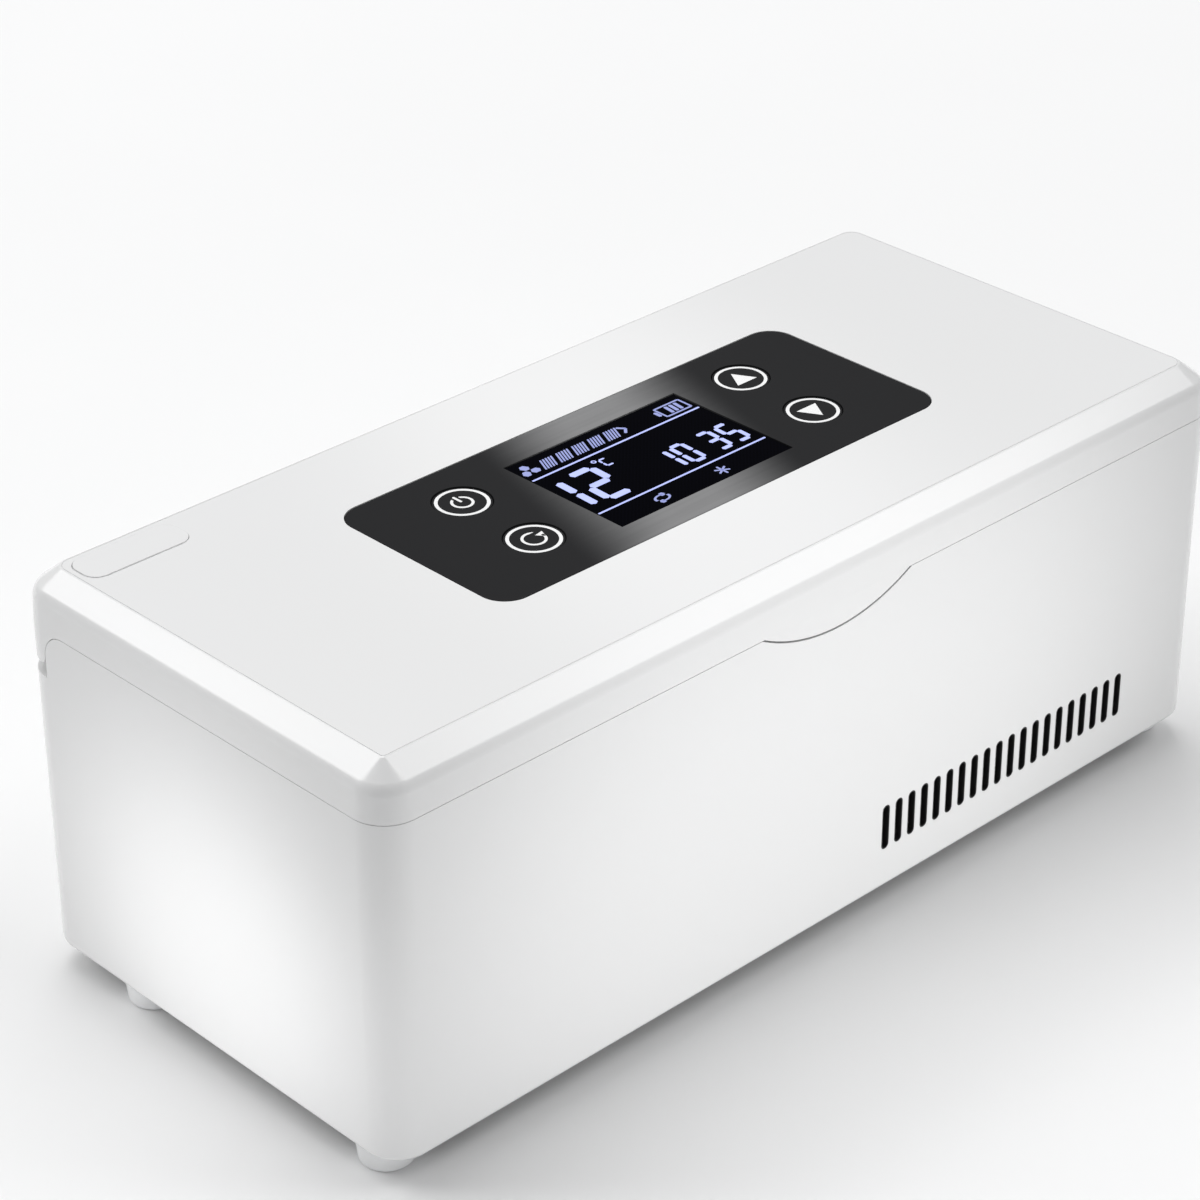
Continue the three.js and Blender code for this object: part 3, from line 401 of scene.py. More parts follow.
def milky_silicone():
    finish = Finish("milky_silicone", {
        "IOR": 1.41, "Subsurface Weight": 0.35, "Subsurface Radius": (0.004, 0.004, 0.004),
        "Subsurface Scale": 0.5})
    clouds = finish.noise(160, detail=3)
    return finish.vary(clouds, (0.72, 0.73, 0.74, 1), grey(0.80), 0.42 + 0.14 * clouds, finish.noise(1800), 0.004 * MM)


silicone = milky_silicone()
print("White finishes:", shell_white.name, satin_white.name, silicone.name)

# %% [markdown]
# ## Panel, display and print
#
# The panel is a dark film. A lighter band that leans a little across its middle, where the display is, is a painted
# sheen: it stands in for a reflection and is painted into the base colour. It fades with the distance from a slanted
# line, and fine lines along the length break it up. The display is black glass with a coating that kills most
# reflections, so its index of refraction is low. Its bars glow. Signs on the keys are white ink.

# %% Panel film, display glass, lit bars and white ink
panel_low, panel_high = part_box("control_panel")
glass_low, glass_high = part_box("lcd_module")
# The painted sheen: a lighter band in the panel's base colour round a slanted line, standing in for a reflection.
SHEEN_MIDDLE = -1.5 * MM
SHEEN_LEAN = 0.31
SHEEN_CORE = 4 * MM
SHEEN_REACH = 26 * MM


def panel_film():
    finish = Finish("panel_film", {"IOR": 1.15})
    lines = finish.noise(900, detail=3, stretch=(0.03, 1, 1))
    specks = finish.noise(5200, detail=1)
    across = finish.place("X") - SHEEN_LEAN * finish.place("Y") - SHEEN_MIDDLE
    # Painted sheen: lighter base colour near the slanted line, in place of a reflection; the fine lines and specks are
    # the film's own.
    painted_sheen = 1 - finish.ease(abs(across), SHEEN_CORE, SHEEN_REACH)
    share = painted_sheen * (0.9 + 0.3 * (lines - 0.5)) + 0.03 * (specks - 0.5)
    return finish.vary(share, (0.016, 0.016, 0.017, 1), (0.235, 0.235, 0.237, 1),
                       0.36 - 0.08 * painted_sheen + 0.06 * specks, lines, 0.0006 * MM)


def display_glass():
    finish = Finish("display_glass", {"IOR": 1.05})
    cells = finish.node("TexChecker", None, {"Vector": finish.place(), "Scale": 2400}, "Fac")
    return finish.vary(cells, (0.0008, 0.0008, 0.0016, 1), (0.0012, 0.0012, 0.0026, 1), 0.16 + 0.05 * finish.noise(90))


def lit_bars(name, strength):
    finish = Finish(name, {"Emission Strength": strength})
    clouds = finish.noise(420)
    finish.feed(finish.shader, {"Emission Color": finish.mix(clouds, (0.44, 0.50, 0.92, 1), (0.56, 0.62, 1.0, 1))})
    return finish.vary(clouds, (0.10, 0.12, 0.30, 1), (0.14, 0.16, 0.34, 1), 0.4)


def white_ink():
    finish = Finish("white_ink", {"Specular IOR Level": 0.3})
    pores = finish.noise(3200)
    return finish.vary(pores, grey(0.78), grey(0.88), 0.45 + 0.2 * pores)


film, glass, ink = panel_film(), display_glass(), white_ink()
lit, dim = lit_bars("lit_digits", strength=0.85), lit_bars("lit_signs", strength=0.42)
print("Panel finishes:", film.name, glass.name, ink.name, lit.name, dim.name)

# %% [markdown]
# ## Metals, foam, board and the rest inside
#
# Most of these show only with the lid open, through the slots or from below, but each piece keeps the finish of
# the real one. Brushed metal is noise stretched along the brushing, which turns up in roughness and bump alike.
# Foam is a field of cells, a circuit board has copper tracks under its mask, and the cells have a printed wrap.

# %% Inner finishes
WRAP_MIDDLE = -59.5 * MM
WRAP_REACH = 26 * MM
WRAP_FADE = 0.4 * MM


def brushed_metal(name, tone, roughness, stretch, depth):
    finish = Finish(name, {"Metallic": 1.0})
    lines = finish.noise(1500, detail=3, stretch=stretch)
    clouds = finish.noise(40)
    return finish.vary(clouds, grey(tone * 0.94), grey(tone),
                       roughness + 0.16 * (lines - 0.5) + 0.08 * (clouds - 0.5), lines, depth)


def moulded_black(name, tone, roughness):
    finish = Finish(name, {"IOR": 1.5})
    grain = finish.noise(2400)
    return finish.vary(finish.noise(60), grey(tone), grey(tone * 1.5), roughness + 0.15 * (grain - 0.5),
                       grain, 0.008 * MM)


def closed_cell_foam():
    finish = Finish("closed_cell_foam", {"Specular IOR Level": 0.2})
    cells = finish.node("TexVoronoi", None, {"Vector": finish.place(), "Scale": 900})
    return finish.vary(cells, (0.80, 0.78, 0.72, 1), (0.66, 0.64, 0.58, 1), 0.86 + 0.1 * cells, cells, 0.08 * MM)


def solder_mask():
    finish = Finish("solder_mask", {"IOR": 1.5})
    tracks = finish.node("TexBrick", {"offset": 0.37}, {
        "Vector": finish.place(), "Scale": 130, "Mortar Size": 0.03, "Row Height": 0.4}, "Fac")
    return finish.vary(tracks, (0.02, 0.13, 0.05, 1), (0.05, 0.26, 0.10, 1), 0.34 + 0.1 * finish.noise(60),
                       tracks, 0.02 * MM)


def white_ceramic():
    finish = Finish("white_ceramic", {"IOR": 1.6})
    pores = finish.noise(1800, detail=3)
    return finish.vary(pores, grey(0.82), (0.74, 0.73, 0.69, 1), 0.6 + 0.2 * pores, pores, 0.01 * MM)


def cell_wrap():
    finish = Finish("cell_wrap", {"IOR": 1.5})
    ends = finish.ease(abs(finish.place("X") - WRAP_MIDDLE), WRAP_REACH, WRAP_REACH + WRAP_FADE)
    wrinkles = finish.noise(240, stretch=(0.2, 1, 1))
    return finish.vary(ends, (0.05, 0.18, 0.45, 1), (0.42, 0.44, 0.46, 1), 0.3 + 0.14 * wrinkles,
                       wrinkles, 0.03 * MM)


tray_metal = brushed_metal("tray_metal", tone=0.78, roughness=0.30, stretch=(0.02, 1, 1), depth=0.003 * MM)
sink_metal = brushed_metal("sink_metal", tone=0.60, roughness=0.40, stretch=(1, 0.03, 1), depth=0.004 * MM)
bright_steel = brushed_metal("bright_steel", tone=0.66, roughness=0.26, stretch=(1, 1, 0.05), depth=0.002 * MM)
moulded = moulded_black("moulded_black", tone=0.012, roughness=0.52)
foam, mask, ceramic, wrap = closed_cell_foam(), solder_mask(), white_ceramic(), cell_wrap()
print("Inner finishes:", len(bpy.data.materials), "materials so far")

# %% [markdown]
# ## Dressing a piece
#
# Every finished mesh needs the same steps, so one function takes them all: it clears the crumbs that cuts leave,
# smooths the mesh, gives it its finish, lets it ride on its body and hides the CAD nodes that it stands for.

# %% Dressing
def dress(piece, body, finish, slot, *replaced):
    """Smooths a piece, gives it its finish and its body, and hides the CAD nodes that it stands for."""
    smooth(piece)
    piece.data.materials.clear()
    piece.data.materials.append(finish)
    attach(piece, body)
    if replaced:
        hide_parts(*replaced)
    report(piece)


print("Every piece below is dressed as it is finished")

# %% [markdown]
# ## Camera
#
# The photograph was taken with a long lens, a little above the lid and off the near left corner. A camera's place
# and lens can be found from points whose real places are known: the corners of the lid's crease, the panel, the
# window and the body's lower edges. The values below are what fits them.

# %% Camera at the photograph's angle
CAMERA_PLACE = Vector((-379.53, -383.48, 359.49)) * MM
CAMERA_AIM = Vector((-3.51, 8.49, 47.34)) * MM
CAMERA_LENS = 106.76
CAMERA_SENSOR = 36
CAMERA_NEAR = 10 * MM
CAMERA_ROLL = math.radians(-0.185)

clear()
bpy.ops.object.camera_add(location=CAMERA_PLACE)
camera = bpy.context.object
camera.rotation_euler = (CAMERA_AIM - CAMERA_PLACE).to_track_quat("-Z", "Y").to_euler()
camera.rotation_euler.rotate_axis("Z", CAMERA_ROLL)
camera.data.lens = CAMERA_LENS
camera.data.sensor_width = CAMERA_SENSOR
camera.data.clip_start = CAMERA_NEAR
bpy.context.scene.camera = camera
print("Camera is", round((CAMERA_AIM - CAMERA_PLACE).length, 3), "m from the case")

# %% [markdown]
# ## The body's outer form
#
# Seen from above, the body is a rectangle with round corners. Seen from the side, it has a shoulder at the rear
# and then a trough for the hinge. A shape that is simple in two views is best made as two simple prisms: the
# rounded block gives the plan, a second block with one rounded edge gives the side, and what both share is the
# body. The other way, cutting the shoulder into the block, would have to round an edge that runs into round corners.

# %% Body: plan block and side profile
WALL = 2.4 * MM
CORNER = 6.5 * MM
BODY_EDGE = 1.4 * MM
SHOULDER = 5 * MM
SEAM = 68 * MM
SEAM_GAP = 0.1 * MM
SWING_RADIUS = 3.2 * MM
LEDGE_DROP = 4.4 * MM
REACH = 20 * MM

body_low, body_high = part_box("body_shell")
hinge_y, hinge_z = joints["lid_hinge"]["pos_m"][1:]
trough_front = hinge_y - SWING_RADIUS
ledge = hinge_z - LEDGE_DROP
rim_top = SEAM - SEAM_GAP / 2
far_low, far_high = body_low - Vector((REACH, REACH, REACH)), body_high + Vector((REACH, REACH, REACH))


def side_profile(name, rear, top, radius):
    """A block across the whole length whose rear upper edge is rounded."""
    profile = block(name, far_low, (far_high.x, rear, top))
    round_edges(profile, lambda middle, way, turn: abs(way.x) > ALONG and middle.y > 0 and middle.z > top - HAIR,
                radius, steps=10)
    return profile


case_body = block("case_body", body_low, body_high + up(REACH), CORNER)
round_edges(case_body, level(body_low.z), BODY_EDGE, steps=5)
profile = side_profile("body_profile", trough_front, rim_top, SHOULDER)
combine(profile, block("ledge", far_low, (far_high.x, far_high.y, ledge)), "UNION")
combine(case_body, profile, "INTERSECT")
report(case_body)

# %% [markdown]
# ## The body's hollow, tab recess and slots
#
# The body is one moulding with walls of 2.4 mm, a ledge that carries the deck, a shallow recess for the lid's
# thumb tab, twenty air slots and a hole for the charging socket. One slot is modelled with round ends and copied,
# so all slots are alike, and all the copies are cut in one go. The mouths of the slots and the rim of the
# case get a small radius, because a mould never leaves a knife edge, and those radii catch the light.

# %% Body: hollow and tab recess
DECK_LEDGE = 2 * MM
DECK_GAP = 0.3 * MM
TAB_MIDDLE = -0.9 * MM
TAB_WIDTH = 35 * MM
TAB_DROP = 4.5 * MM
TAB_THICKNESS = 1.3 * MM
TAB_GAP = 0.3 * MM
TAB_SIDES = 320
deck_low, deck_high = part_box("inner_deck")
deck_rear = deck_high.y + DECK_GAP
under_ledge = ledge - WALL
tab_radius = (TAB_WIDTH ** 2 / 4 + TAB_DROP ** 2) / (2 * TAB_DROP)
tab_height = SEAM - TAB_DROP + tab_radius


def well(inset, rear, low, high):
    """A cutter that follows the body's plan at an inset, up to its own rear wall."""
    return block("well", (body_low.x + inset, body_low.y + inset, low), (body_high.x - inset, rear, high),
                 CORNER - inset)


def tab_disc(name, margin, front, rear):
    """The disc whose lowest part is the thumb tab."""
    return rod(name, tab_radius + margin, (TAB_MIDDLE, front, tab_height), (TAB_MIDDLE, rear, tab_height), TAB_SIDES)


cut(case_body,
    well(WALL, body_high.y - WALL, body_low.z - REACH, under_ledge),
    well(WALL + DECK_LEDGE, deck_rear - DECK_LEDGE, under_ledge - DECK_GAP, deck_low.z + DECK_GAP),
    well(WALL, deck_rear, deck_low.z, body_high.z + REACH),
    tab_disc("tab_recess", TAB_GAP, body_low.y - REACH, body_low.y + TAB_THICKNESS + TAB_GAP))
report(case_body)

# %% Body: slots, socket hole and rim
SLOT_COUNT = 20
SLOT_PITCH = 3.33 * MM
SLOT_WIDTH = 1.85 * MM
SLOT_HEIGHT = 9 * MM
SLOT_SILL = 8.3 * MM
SLOT_EDGE = 0.08 * MM
END_RADIUS = 0.49 * SLOT_WIDTH
JACK_HOLE = 4.2 * MM
RIM_RADIUS = 0.15 * MM
first_slot = middle_of("heat_sink").x - (SLOT_COUNT - 1) * SLOT_PITCH / 2
slot_low = body_low.z + SLOT_SILL
jack = middle_of("dc_jack")


def slot_row(name, margin, front, rear, rim=0.0):
    """A row of bars with round ends, as cutters for the slots, or as black linings for painted shade where a rim is
    given.
    """
    first = block(name, (first_slot - SLOT_WIDTH / 2 + margin, front, slot_low + margin),
                  (first_slot + SLOT_WIDTH / 2 - margin, rear, slot_low + SLOT_HEIGHT - margin))
    round_edges(first, along(1), END_RADIUS - margin, steps=6)
    if rim:
        tunnel(first, rim, 1)
    copies = [copy_of(first, name, (i * SLOT_PITCH, 0, 0)) for i in range(1, SLOT_COUNT)]
    return gather(name, [first, *copies])


def jack_rod(name, radius, start, end, sides=ROD_SIDES):
    """A cylinder on the socket's axis, from one depth to another."""
    return rod(name, radius, (jack.x, start, jack.z), (jack.x, end, jack.z), sides)


cut(case_body, slot_row("slots", 0.0, body_low.y - REACH, body_low.y + REACH / 2))
round_edges(case_body, within(y=(far_low.y, body_low.y), z=(slot_low, slot_low + SLOT_HEIGHT)), SLOT_EDGE, steps=2)
cut(case_body, jack_rod("socket_hole", JACK_HOLE, body_high.y - 2 * WALL, body_high.y + REACH))
round_edges(case_body, within(y=(body_high.y, far_high.y), z=(jack.z - JACK_HOLE, jack.z + JACK_HOLE)),
            SLOT_EDGE, steps=2)
round_edges(case_body, within(y=(far_low.y, trough_front - SHOULDER), z=(rim_top, rim_top)), RIM_RADIUS, steps=2)
report(case_body)

# %% [markdown]
# ## Black sleeves as painted shade in the slots
#
# The slots look black right up to their mouths, even at a slant, where a white wall of 2.4 mm would show its own
# white edge. That black is shade inside the case, so black sleeves stand in for it as painted shade: a thin sleeve in
# each, a hair back from the mouth. It is the same row of bars as the cutters, a little smaller, with each bar made a
# tunnel.

# %% Slot sleeves as painted shade
SLEEVE_GAP = 0.02 * MM
SLEEVE_RIM = 0.22 * MM
SLEEVE_SETBACK = 0.6 * SLOT_EDGE
SLEEVE_END = WALL + 0.4 * MM
# Painted shade: black sleeves inside the slots, which on the real case are only dark.
shade_sleeves = slot_row("slot_sleeves", SLEEVE_GAP, body_low.y + SLEEVE_SETBACK, body_low.y + SLEEVE_END, SLEEVE_RIM)
dress(shade_sleeves, "case", moulded, "black_plastic")

# %% [markdown]
# ## Hinge knuckles
#
# The lid turns on two short steel pins at the rear, hidden in the trough. At each pin two knuckles belong to
# the body and the one between them to the lid. Each is a barrel with a web to its wall and a bore for the pin.

# %% Knuckles on the body
KNUCKLE_RADIUS = 2 * MM
KNUCKLE_LENGTH = 8 * MM
KNUCKLE_GAP = 0.3 * MM
PIN_BORE = 1.08 * MM
hinge_places = [middle_of("hinge_pin_" + side).x for side in ("left", "right")]


def hinge_rod(name, radius, left, right, sides):
    """A cylinder on the hinge's axis."""
    return rod(name, radius, (left, hinge_y, hinge_z), (right, hinge_y, hinge_z), sides)


def knuckle(left, right, wall, low):
    """A barrel round the hinge's axis with a web to the wall, bored for the pin."""
    barrel = hinge_rod("barrel", KNUCKLE_RADIUS, left, right, sides=48)
    combine(barrel, block("web", (left, min(wall, hinge_y), low),
                          (right, max(wall, hinge_y), hinge_z + KNUCKLE_RADIUS)), "UNION")
    cut(barrel, hinge_rod("bore", PIN_BORE, left - REACH, right + REACH, sides=32))
    return barrel


knuckle_start = KNUCKLE_LENGTH / 2 + KNUCKLE_GAP
knuckle_end = knuckle_start + KNUCKLE_LENGTH
for place in hinge_places:
    for left, right in ((place - knuckle_end, place - knuckle_start), (place + knuckle_start, place + knuckle_end)):
        combine(case_body, knuckle(left, right, trough_front - WALL / 2, hinge_z - KNUCKLE_RADIUS), "UNION")
dress(case_body, "case", shell_white, "white_gloss", "body_shell")

# %% [markdown]
# ## The lid's outer form
#
# The lid has an upright skirt, a broad chamfer and a flat top. In plan the skirt's corners are wide and the
# crease round the top is nearly square, most of all at the near corner, so each corner of the chamfer is a part of
# a cone. Scaling a face inwards can't change a corner's radius. So one outline is drawn at each height, a plane
# with its corners rounded, and the outlines are bridged. Then the edge between skirt and chamfer is rounded
# softly, and the crease only a little, so that it stays crisp.

# %% Lid: outlines and bridges
SKIRT_BOTTOM = 61.6 * MM
SKIRT_TOP = 73.9 * MM
SKIRT_DRAFT = 0.3 * MM
CHAMFER_INSET = 4.7 * MM
CREASE_CORNER = 2.5 * MM
NEAR_CORNER = 0.5 * MM
SHOULDER_SOFTNESS = 1.3 * MM
CREASE_SOFTNESS = 0.22 * MM
lid_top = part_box("lid_cover")[1].z


def outline(inset, radius, height, rear=None, near=None):
    """A level plane with rounded corners, at an inset from the body's plan; the rear and the near corner can differ."""
    low = body_low + Vector((inset, inset, 0))
    high = body_high - Vector((inset, inset if rear is None else rear, 0))
    clear()
    bpy.ops.mesh.primitive_plane_add(size=1, location=((low.x + high.x) / 2, (low.y + high.y) / 2, height))
    bpy.context.object.scale = (high.x - low.x, high.y - low.y, 1)
    plane = settle("outline")
    for size, is_near in ((near or radius, True), (radius, False)):
        for vertex in open_mesh(plane, "VERT").verts:
            vertex.select_set((vertex.co.x < 0 and vertex.co.y < 0) == is_near)
        bpy.ops.mesh.bevel(offset=size, segments=CORNER_STEPS, affect="VERTICES")
        close_mesh()
    return plane


def bridged(name, rings):
    """Joins outlines of equal point counts into one closed skin, from the lowest to the highest."""
    skin = gather(name, [outline(*ring) for ring in rings])
    heights = [ring[2] for ring in rings]
    mesh = open_mesh(skin, "FACE")
    pick_faces(mesh, lambda middle, normal: heights[0] + HAIR < middle.z < heights[-1] - HAIR)
    bpy.ops.mesh.delete(type="ONLY_FACE")
    close_mesh()
    for low, high in zip(heights, heights[1:]):
        mesh = open_mesh(skin, "EDGE")
        pick_edges(mesh, level(low))
        pick_edges(mesh, level(high))
        bpy.ops.mesh.bridge_edge_loops()
        close_mesh()
    open_mesh(skin, "FACE")
    bpy.ops.mesh.select_all(action="SELECT")
    bpy.ops.mesh.normals_make_consistent(inside=False)
    close_mesh()
    return skin


lid_shell = bridged("lid_shell", [
    (0.0, CORNER, SKIRT_BOTTOM),
    (0.0, CORNER, SEAM),
    (SKIRT_DRAFT, CORNER - SKIRT_DRAFT, SKIRT_TOP),
    (CHAMFER_INSET, CREASE_CORNER, lid_top, None, NEAR_CORNER),
])
round_edges(lid_shell, level(SKIRT_TOP), SHOULDER_SOFTNESS, steps=8)
round_edges(lid_shell, level(lid_top), CREASE_SOFTNESS, steps=3)
report(lid_shell)

# %% [markdown]
# ## The lid's inside, openings and tab
#
# Underneath, the lid follows the body's shoulder at an even gap, so it is cut with the same kind of side profile.
# Its top is opened for the panel, the window and the keys, and has a shallow moulded relief at the rear left. A line
# as fine as a scribe mark runs just inside the crease. The thumb tab is the lowest part of a large disc, joined to
# the skirt a hair behind its face.

# %% Lid: underside and hollow
REAR_WALL = 1.6 * MM
lid_bottom = SEAM + SEAM_GAP / 2
lid_ceiling = lid_top - WALL
inner_corner = CORNER - WALL

cut(lid_shell, side_profile("lid_underside", trough_front + SEAM_GAP, lid_bottom, SHOULDER + SEAM_GAP))
swing_room = block("swing_room", (far_low.x, trough_front - MM, SKIRT_BOTTOM - REACH), (far_high.x, hinge_y, hinge_z))
cut(swing_room, hinge_rod("swing", SWING_RADIUS - SEAM_GAP, far_low.x - REACH, far_high.x + REACH, sides=96))
cut(lid_shell, swing_room, bridged("lid_hollow", [
    (WALL, inner_corner, body_low.z, REAR_WALL),
    (WALL, inner_corner, lid_ceiling - (lid_top - SKIRT_TOP), REAR_WALL),
    (CHAMFER_INSET + WALL / 2, inner_corner, lid_ceiling),
]))
report(lid_shell)

# %% Lid: openings, relief and crease line
PANEL_CORNER = 5 * MM
PANEL_GAP = 0.15 * MM
KEY_RADIUS = 5.2 * MM
KEYS = ("auto", "power", "down", "up")
RELIEF_LOW = Vector((-94.1, 31.5, 0)) * MM
RELIEF_HIGH = Vector((-73.1, 39.5, 0)) * MM
RELIEF_DEPTH = 0.5 * MM
RELIEF_RADIUS = 3 * MM
CREASE_LINE = 0.13 * MM
CREASE_LINE_DEPTH = 0.12 * MM
window_high = Vector((20.3, 14.4, 0)) * MM
window_low = -window_high
key_places = {key: middle_of("key_" + key) for key in KEYS}
above = up(lid_top + REACH)
skin_gap = Vector((PANEL_GAP, PANEL_GAP, 0))


def openings(low):
    """Cutters for the window and the keys, from a height to above the lid."""
    window = block("window", window_low - skin_gap + up(low), window_high + skin_gap + above)
    return [window] + [pillar("key_hole", KEY_RADIUS + PANEL_GAP, place, low, above.z) for place in key_places.values()]


cut(lid_shell,
    block("panel_seat", panel_low - skin_gap, panel_high + skin_gap + above, PANEL_CORNER + PANEL_GAP),
    *openings(lid_ceiling - REAR_WALL),
    block("relief", RELIEF_LOW + up(lid_top - RELIEF_DEPTH), RELIEF_HIGH + above, RELIEF_RADIUS, steps=8))
line_inset = CHAMFER_INSET + 1.5 * CREASE_LINE
crease_line = block("crease_line",
                    (body_low.x + line_inset, body_low.y + line_inset, lid_top - CREASE_LINE_DEPTH),
                    (body_high.x - line_inset, body_high.y - line_inset, above.z))
for size, is_near in ((NEAR_CORNER, True), (CREASE_CORNER, False)):
    round_edges(crease_line, lambda middle, way, turn: abs(way.z) > ALONG and turn > SHARP
                and (middle.x < 0 and middle.y < 0) == is_near, size, CORNER_STEPS)
tunnel(crease_line, CREASE_LINE)
cut(lid_shell, crease_line)
report(lid_shell)

# %% Lid: tab, rim and knuckles
TAB_EDGE = 0.3 * MM
TAB_SETBACK = 0.1 * MM
RELIEF_EDGE = 0.06 * MM
tab = tab_disc("tab", 0.0, body_low.y + TAB_SETBACK, body_low.y + TAB_THICKNESS)
combine(tab, block("tab_room", body_low - Vector((0, REACH, 0)),
                   (body_high.x, body_high.y, lid_bottom + TAB_EDGE)), "INTERSECT")
combine(lid_shell, tab, "UNION")


def on_tab(middle):
    return abs(math.hypot(middle.x - TAB_MIDDLE, middle.z - tab_height) - tab_radius) < 5 * HAIR


round_edges(lid_shell, lambda middle, way, turn: turn > SHARP and middle.y < body_low.y + TAB_SETBACK + HAIR
            and on_tab(middle) and middle.z < lid_bottom - TAB_EDGE, TAB_EDGE, steps=3)
round_edges(lid_shell, within(y=(far_low.y, trough_front - SHOULDER - MM), z=(lid_bottom, lid_bottom)),
            RIM_RADIUS, steps=2)
round_edges(lid_shell, within(x=(RELIEF_LOW.x - MM, RELIEF_HIGH.x + MM), y=(RELIEF_LOW.y - MM, RELIEF_HIGH.y + MM),
                              z=(lid_top, lid_top)), RELIEF_EDGE, steps=2)
for place in hinge_places:
    combine(lid_shell, knuckle(place - KNUCKLE_LENGTH / 2, place + KNUCKLE_LENGTH / 2,
                               body_high.y - REAR_WALL / 2, SKIRT_BOTTOM), "UNION")
dress(lid_shell, "lid", shell_white, "white_gloss", "lid_cover")

# %% [markdown]
# ## Plate in the relief
#
# A white plate nearly fills the relief, so only a fine line shows where it stops short: in front and at the left.
# A groove along two sides would look much the same, but a plate also closes the relief at its far sides.

# %% Plate in the relief
PLATE_LEFT_GAP = 0.36 * MM
PLATE_FRONT_GAP = 0.42 * MM
PLATE_LAP = 0.05 * MM
PLATE_CORNER = 0.9 * RELIEF_RADIUS
plate_low = RELIEF_LOW + Vector((PLATE_LEFT_GAP, PLATE_FRONT_GAP, lid_top - RELIEF_DEPTH))
plate_high = RELIEF_HIGH + Vector((PLATE_LAP, PLATE_LAP, lid_top - HAIR))
relief_plate = block("relief_plate", plate_low, plate_high, PLATE_CORNER, steps=8)
round_edges(relief_plate, level(plate_high.z), RELIEF_EDGE, steps=2)
dress(relief_plate, "lid", shell_white, "white_gloss")

# %% [markdown]
# ## Control panel
#
# The panel is a thin plate that fills its seat in the lid, flush with the top. Its upper edge is turned down by
# a fraction of a millimetre, which gives the fine light line round it. The window and the four keyholes go
# right through.

# %% Panel plate
PANEL_EDGE = 0.18 * MM
panel_plate = block("panel_plate", panel_low, panel_high, PANEL_CORNER)
round_edges(panel_plate, level(panel_high.z), PANEL_EDGE, steps=2)
cut(panel_plate, *openings(panel_low.z - MM))
dress(panel_plate, "lid", film, "black_gloss", "control_panel")

# %% [markdown]
# ## Display
#
# The display is a glass block on a wider carrier. It starts as the carrier's plate. Its top is inset to the window's
# size and extruded up into the panel's opening, and the glass edge is broken slightly.

# %% Display block
GLASS_EDGE = 0.1 * MM
CARRIER_HEIGHT = 1.3 * MM
carrier_top = glass_low.z + CARRIER_HEIGHT
display = block("display", glass_low, (glass_high.x, glass_high.y, carrier_top))
step_up(display, window_low.x - glass_low.x, glass_high.z - carrier_top)
round_edges(display, level(glass_high.z), GLASS_EDGE, steps=2)
dress(display, "lid", glass, "display", "lcd_module")

# %% [markdown]
# ## What the display shows
#
# A display of this kind lights fixed bars. Digits are seven bars each: a six-sided disc with its two ends pulled
# apart. The same bar, longer or thinner, makes the rules, the level gauge and the small signs. They are real
# plates, a few hundredths of a millimetre thick, because a shape that is only in a material is lost in the mesh.
# The numbers are plain ones, and there are no words. Places and sizes on the display are in millimetres, and turns
# in degrees.

# %% Lit bars and digits
BAR_THICKNESS = 0.06 * MM
BAR_GAP = 0.35
RING_SIDES = 40
LEAN = 2
DIGIT_BARS = {"0": "abcdef", "1": "bc", "2": "abdeg", "3": "abcdg", "5": "acdfg", "C": "adef"}


def on_glass(u, v):
    """A place on the display, right of and above its middle."""
    return Vector((u * MM, v * MM, glass_high.z))


def lit_bar(u, v, length, width, turn=0):
    """A bar with pointed ends; at a turn of 0 it stands upright on the display."""
    angle = math.radians(turn)
    way = Vector((-math.sin(angle), math.cos(angle), 0))
    middle = on_glass(u, v)
    radius = width * MM / math.sqrt(3)
    clear()
    bpy.ops.mesh.primitive_cylinder_add(vertices=6, radius=radius, depth=BAR_THICKNESS, location=middle,
                                        rotation=(0, 0, angle))
    bar = settle("bar")
    pull = max(length * MM / 2 - radius, 0)
    for side in (-1, 1):
        mesh = open_mesh(bar, "VERT")
        for vertex in mesh.verts:
            if side * (vertex.co - middle).dot(way) > HAIR:
                vertex.select_set(True)
        bpy.ops.transform.translate(value=way * side * pull)
        close_mesh()
    return bar


def digit(sign, u, v, height, width, thickness):
    """A seven-bar digit round its middle, leaning a little to the right."""
    half, step = width / 2, height / 4
    lean = math.tan(math.radians(LEAN))
    upright = {"f": (-half, step), "e": (-half, -step), "b": (half, step), "c": (half, -step)}
    flat = {"a": (0, 2 * step), "g": (0, 0), "d": (0, -2 * step)}
    bars = []
    for name, (across, rise) in {**upright, **flat}.items():
        if name in DIGIT_BARS[sign]:
            length, turn = (2 * step, -LEAN) if name in upright else (width, 90)
            bars.append(lit_bar(u + across + lean * rise, v + rise, length - BAR_GAP * thickness, thickness, turn))
    return bars


def flat_disc(middle, radius, thickness, sides, rim=0.0):
    """A thin disc round a place, or a ring where a rim is given."""
    half = up(thickness / 2)
    disc = rod("disc", radius, middle - half, middle + half, sides)
    if rim:
        tunnel(disc, rim)
    return disc


def ring(u, v, radius, rim):
    return flat_disc(on_glass(u, v), radius * MM, BAR_THICKNESS, RING_SIDES, rim * MM)


print("Bars, digits and rings are ready")

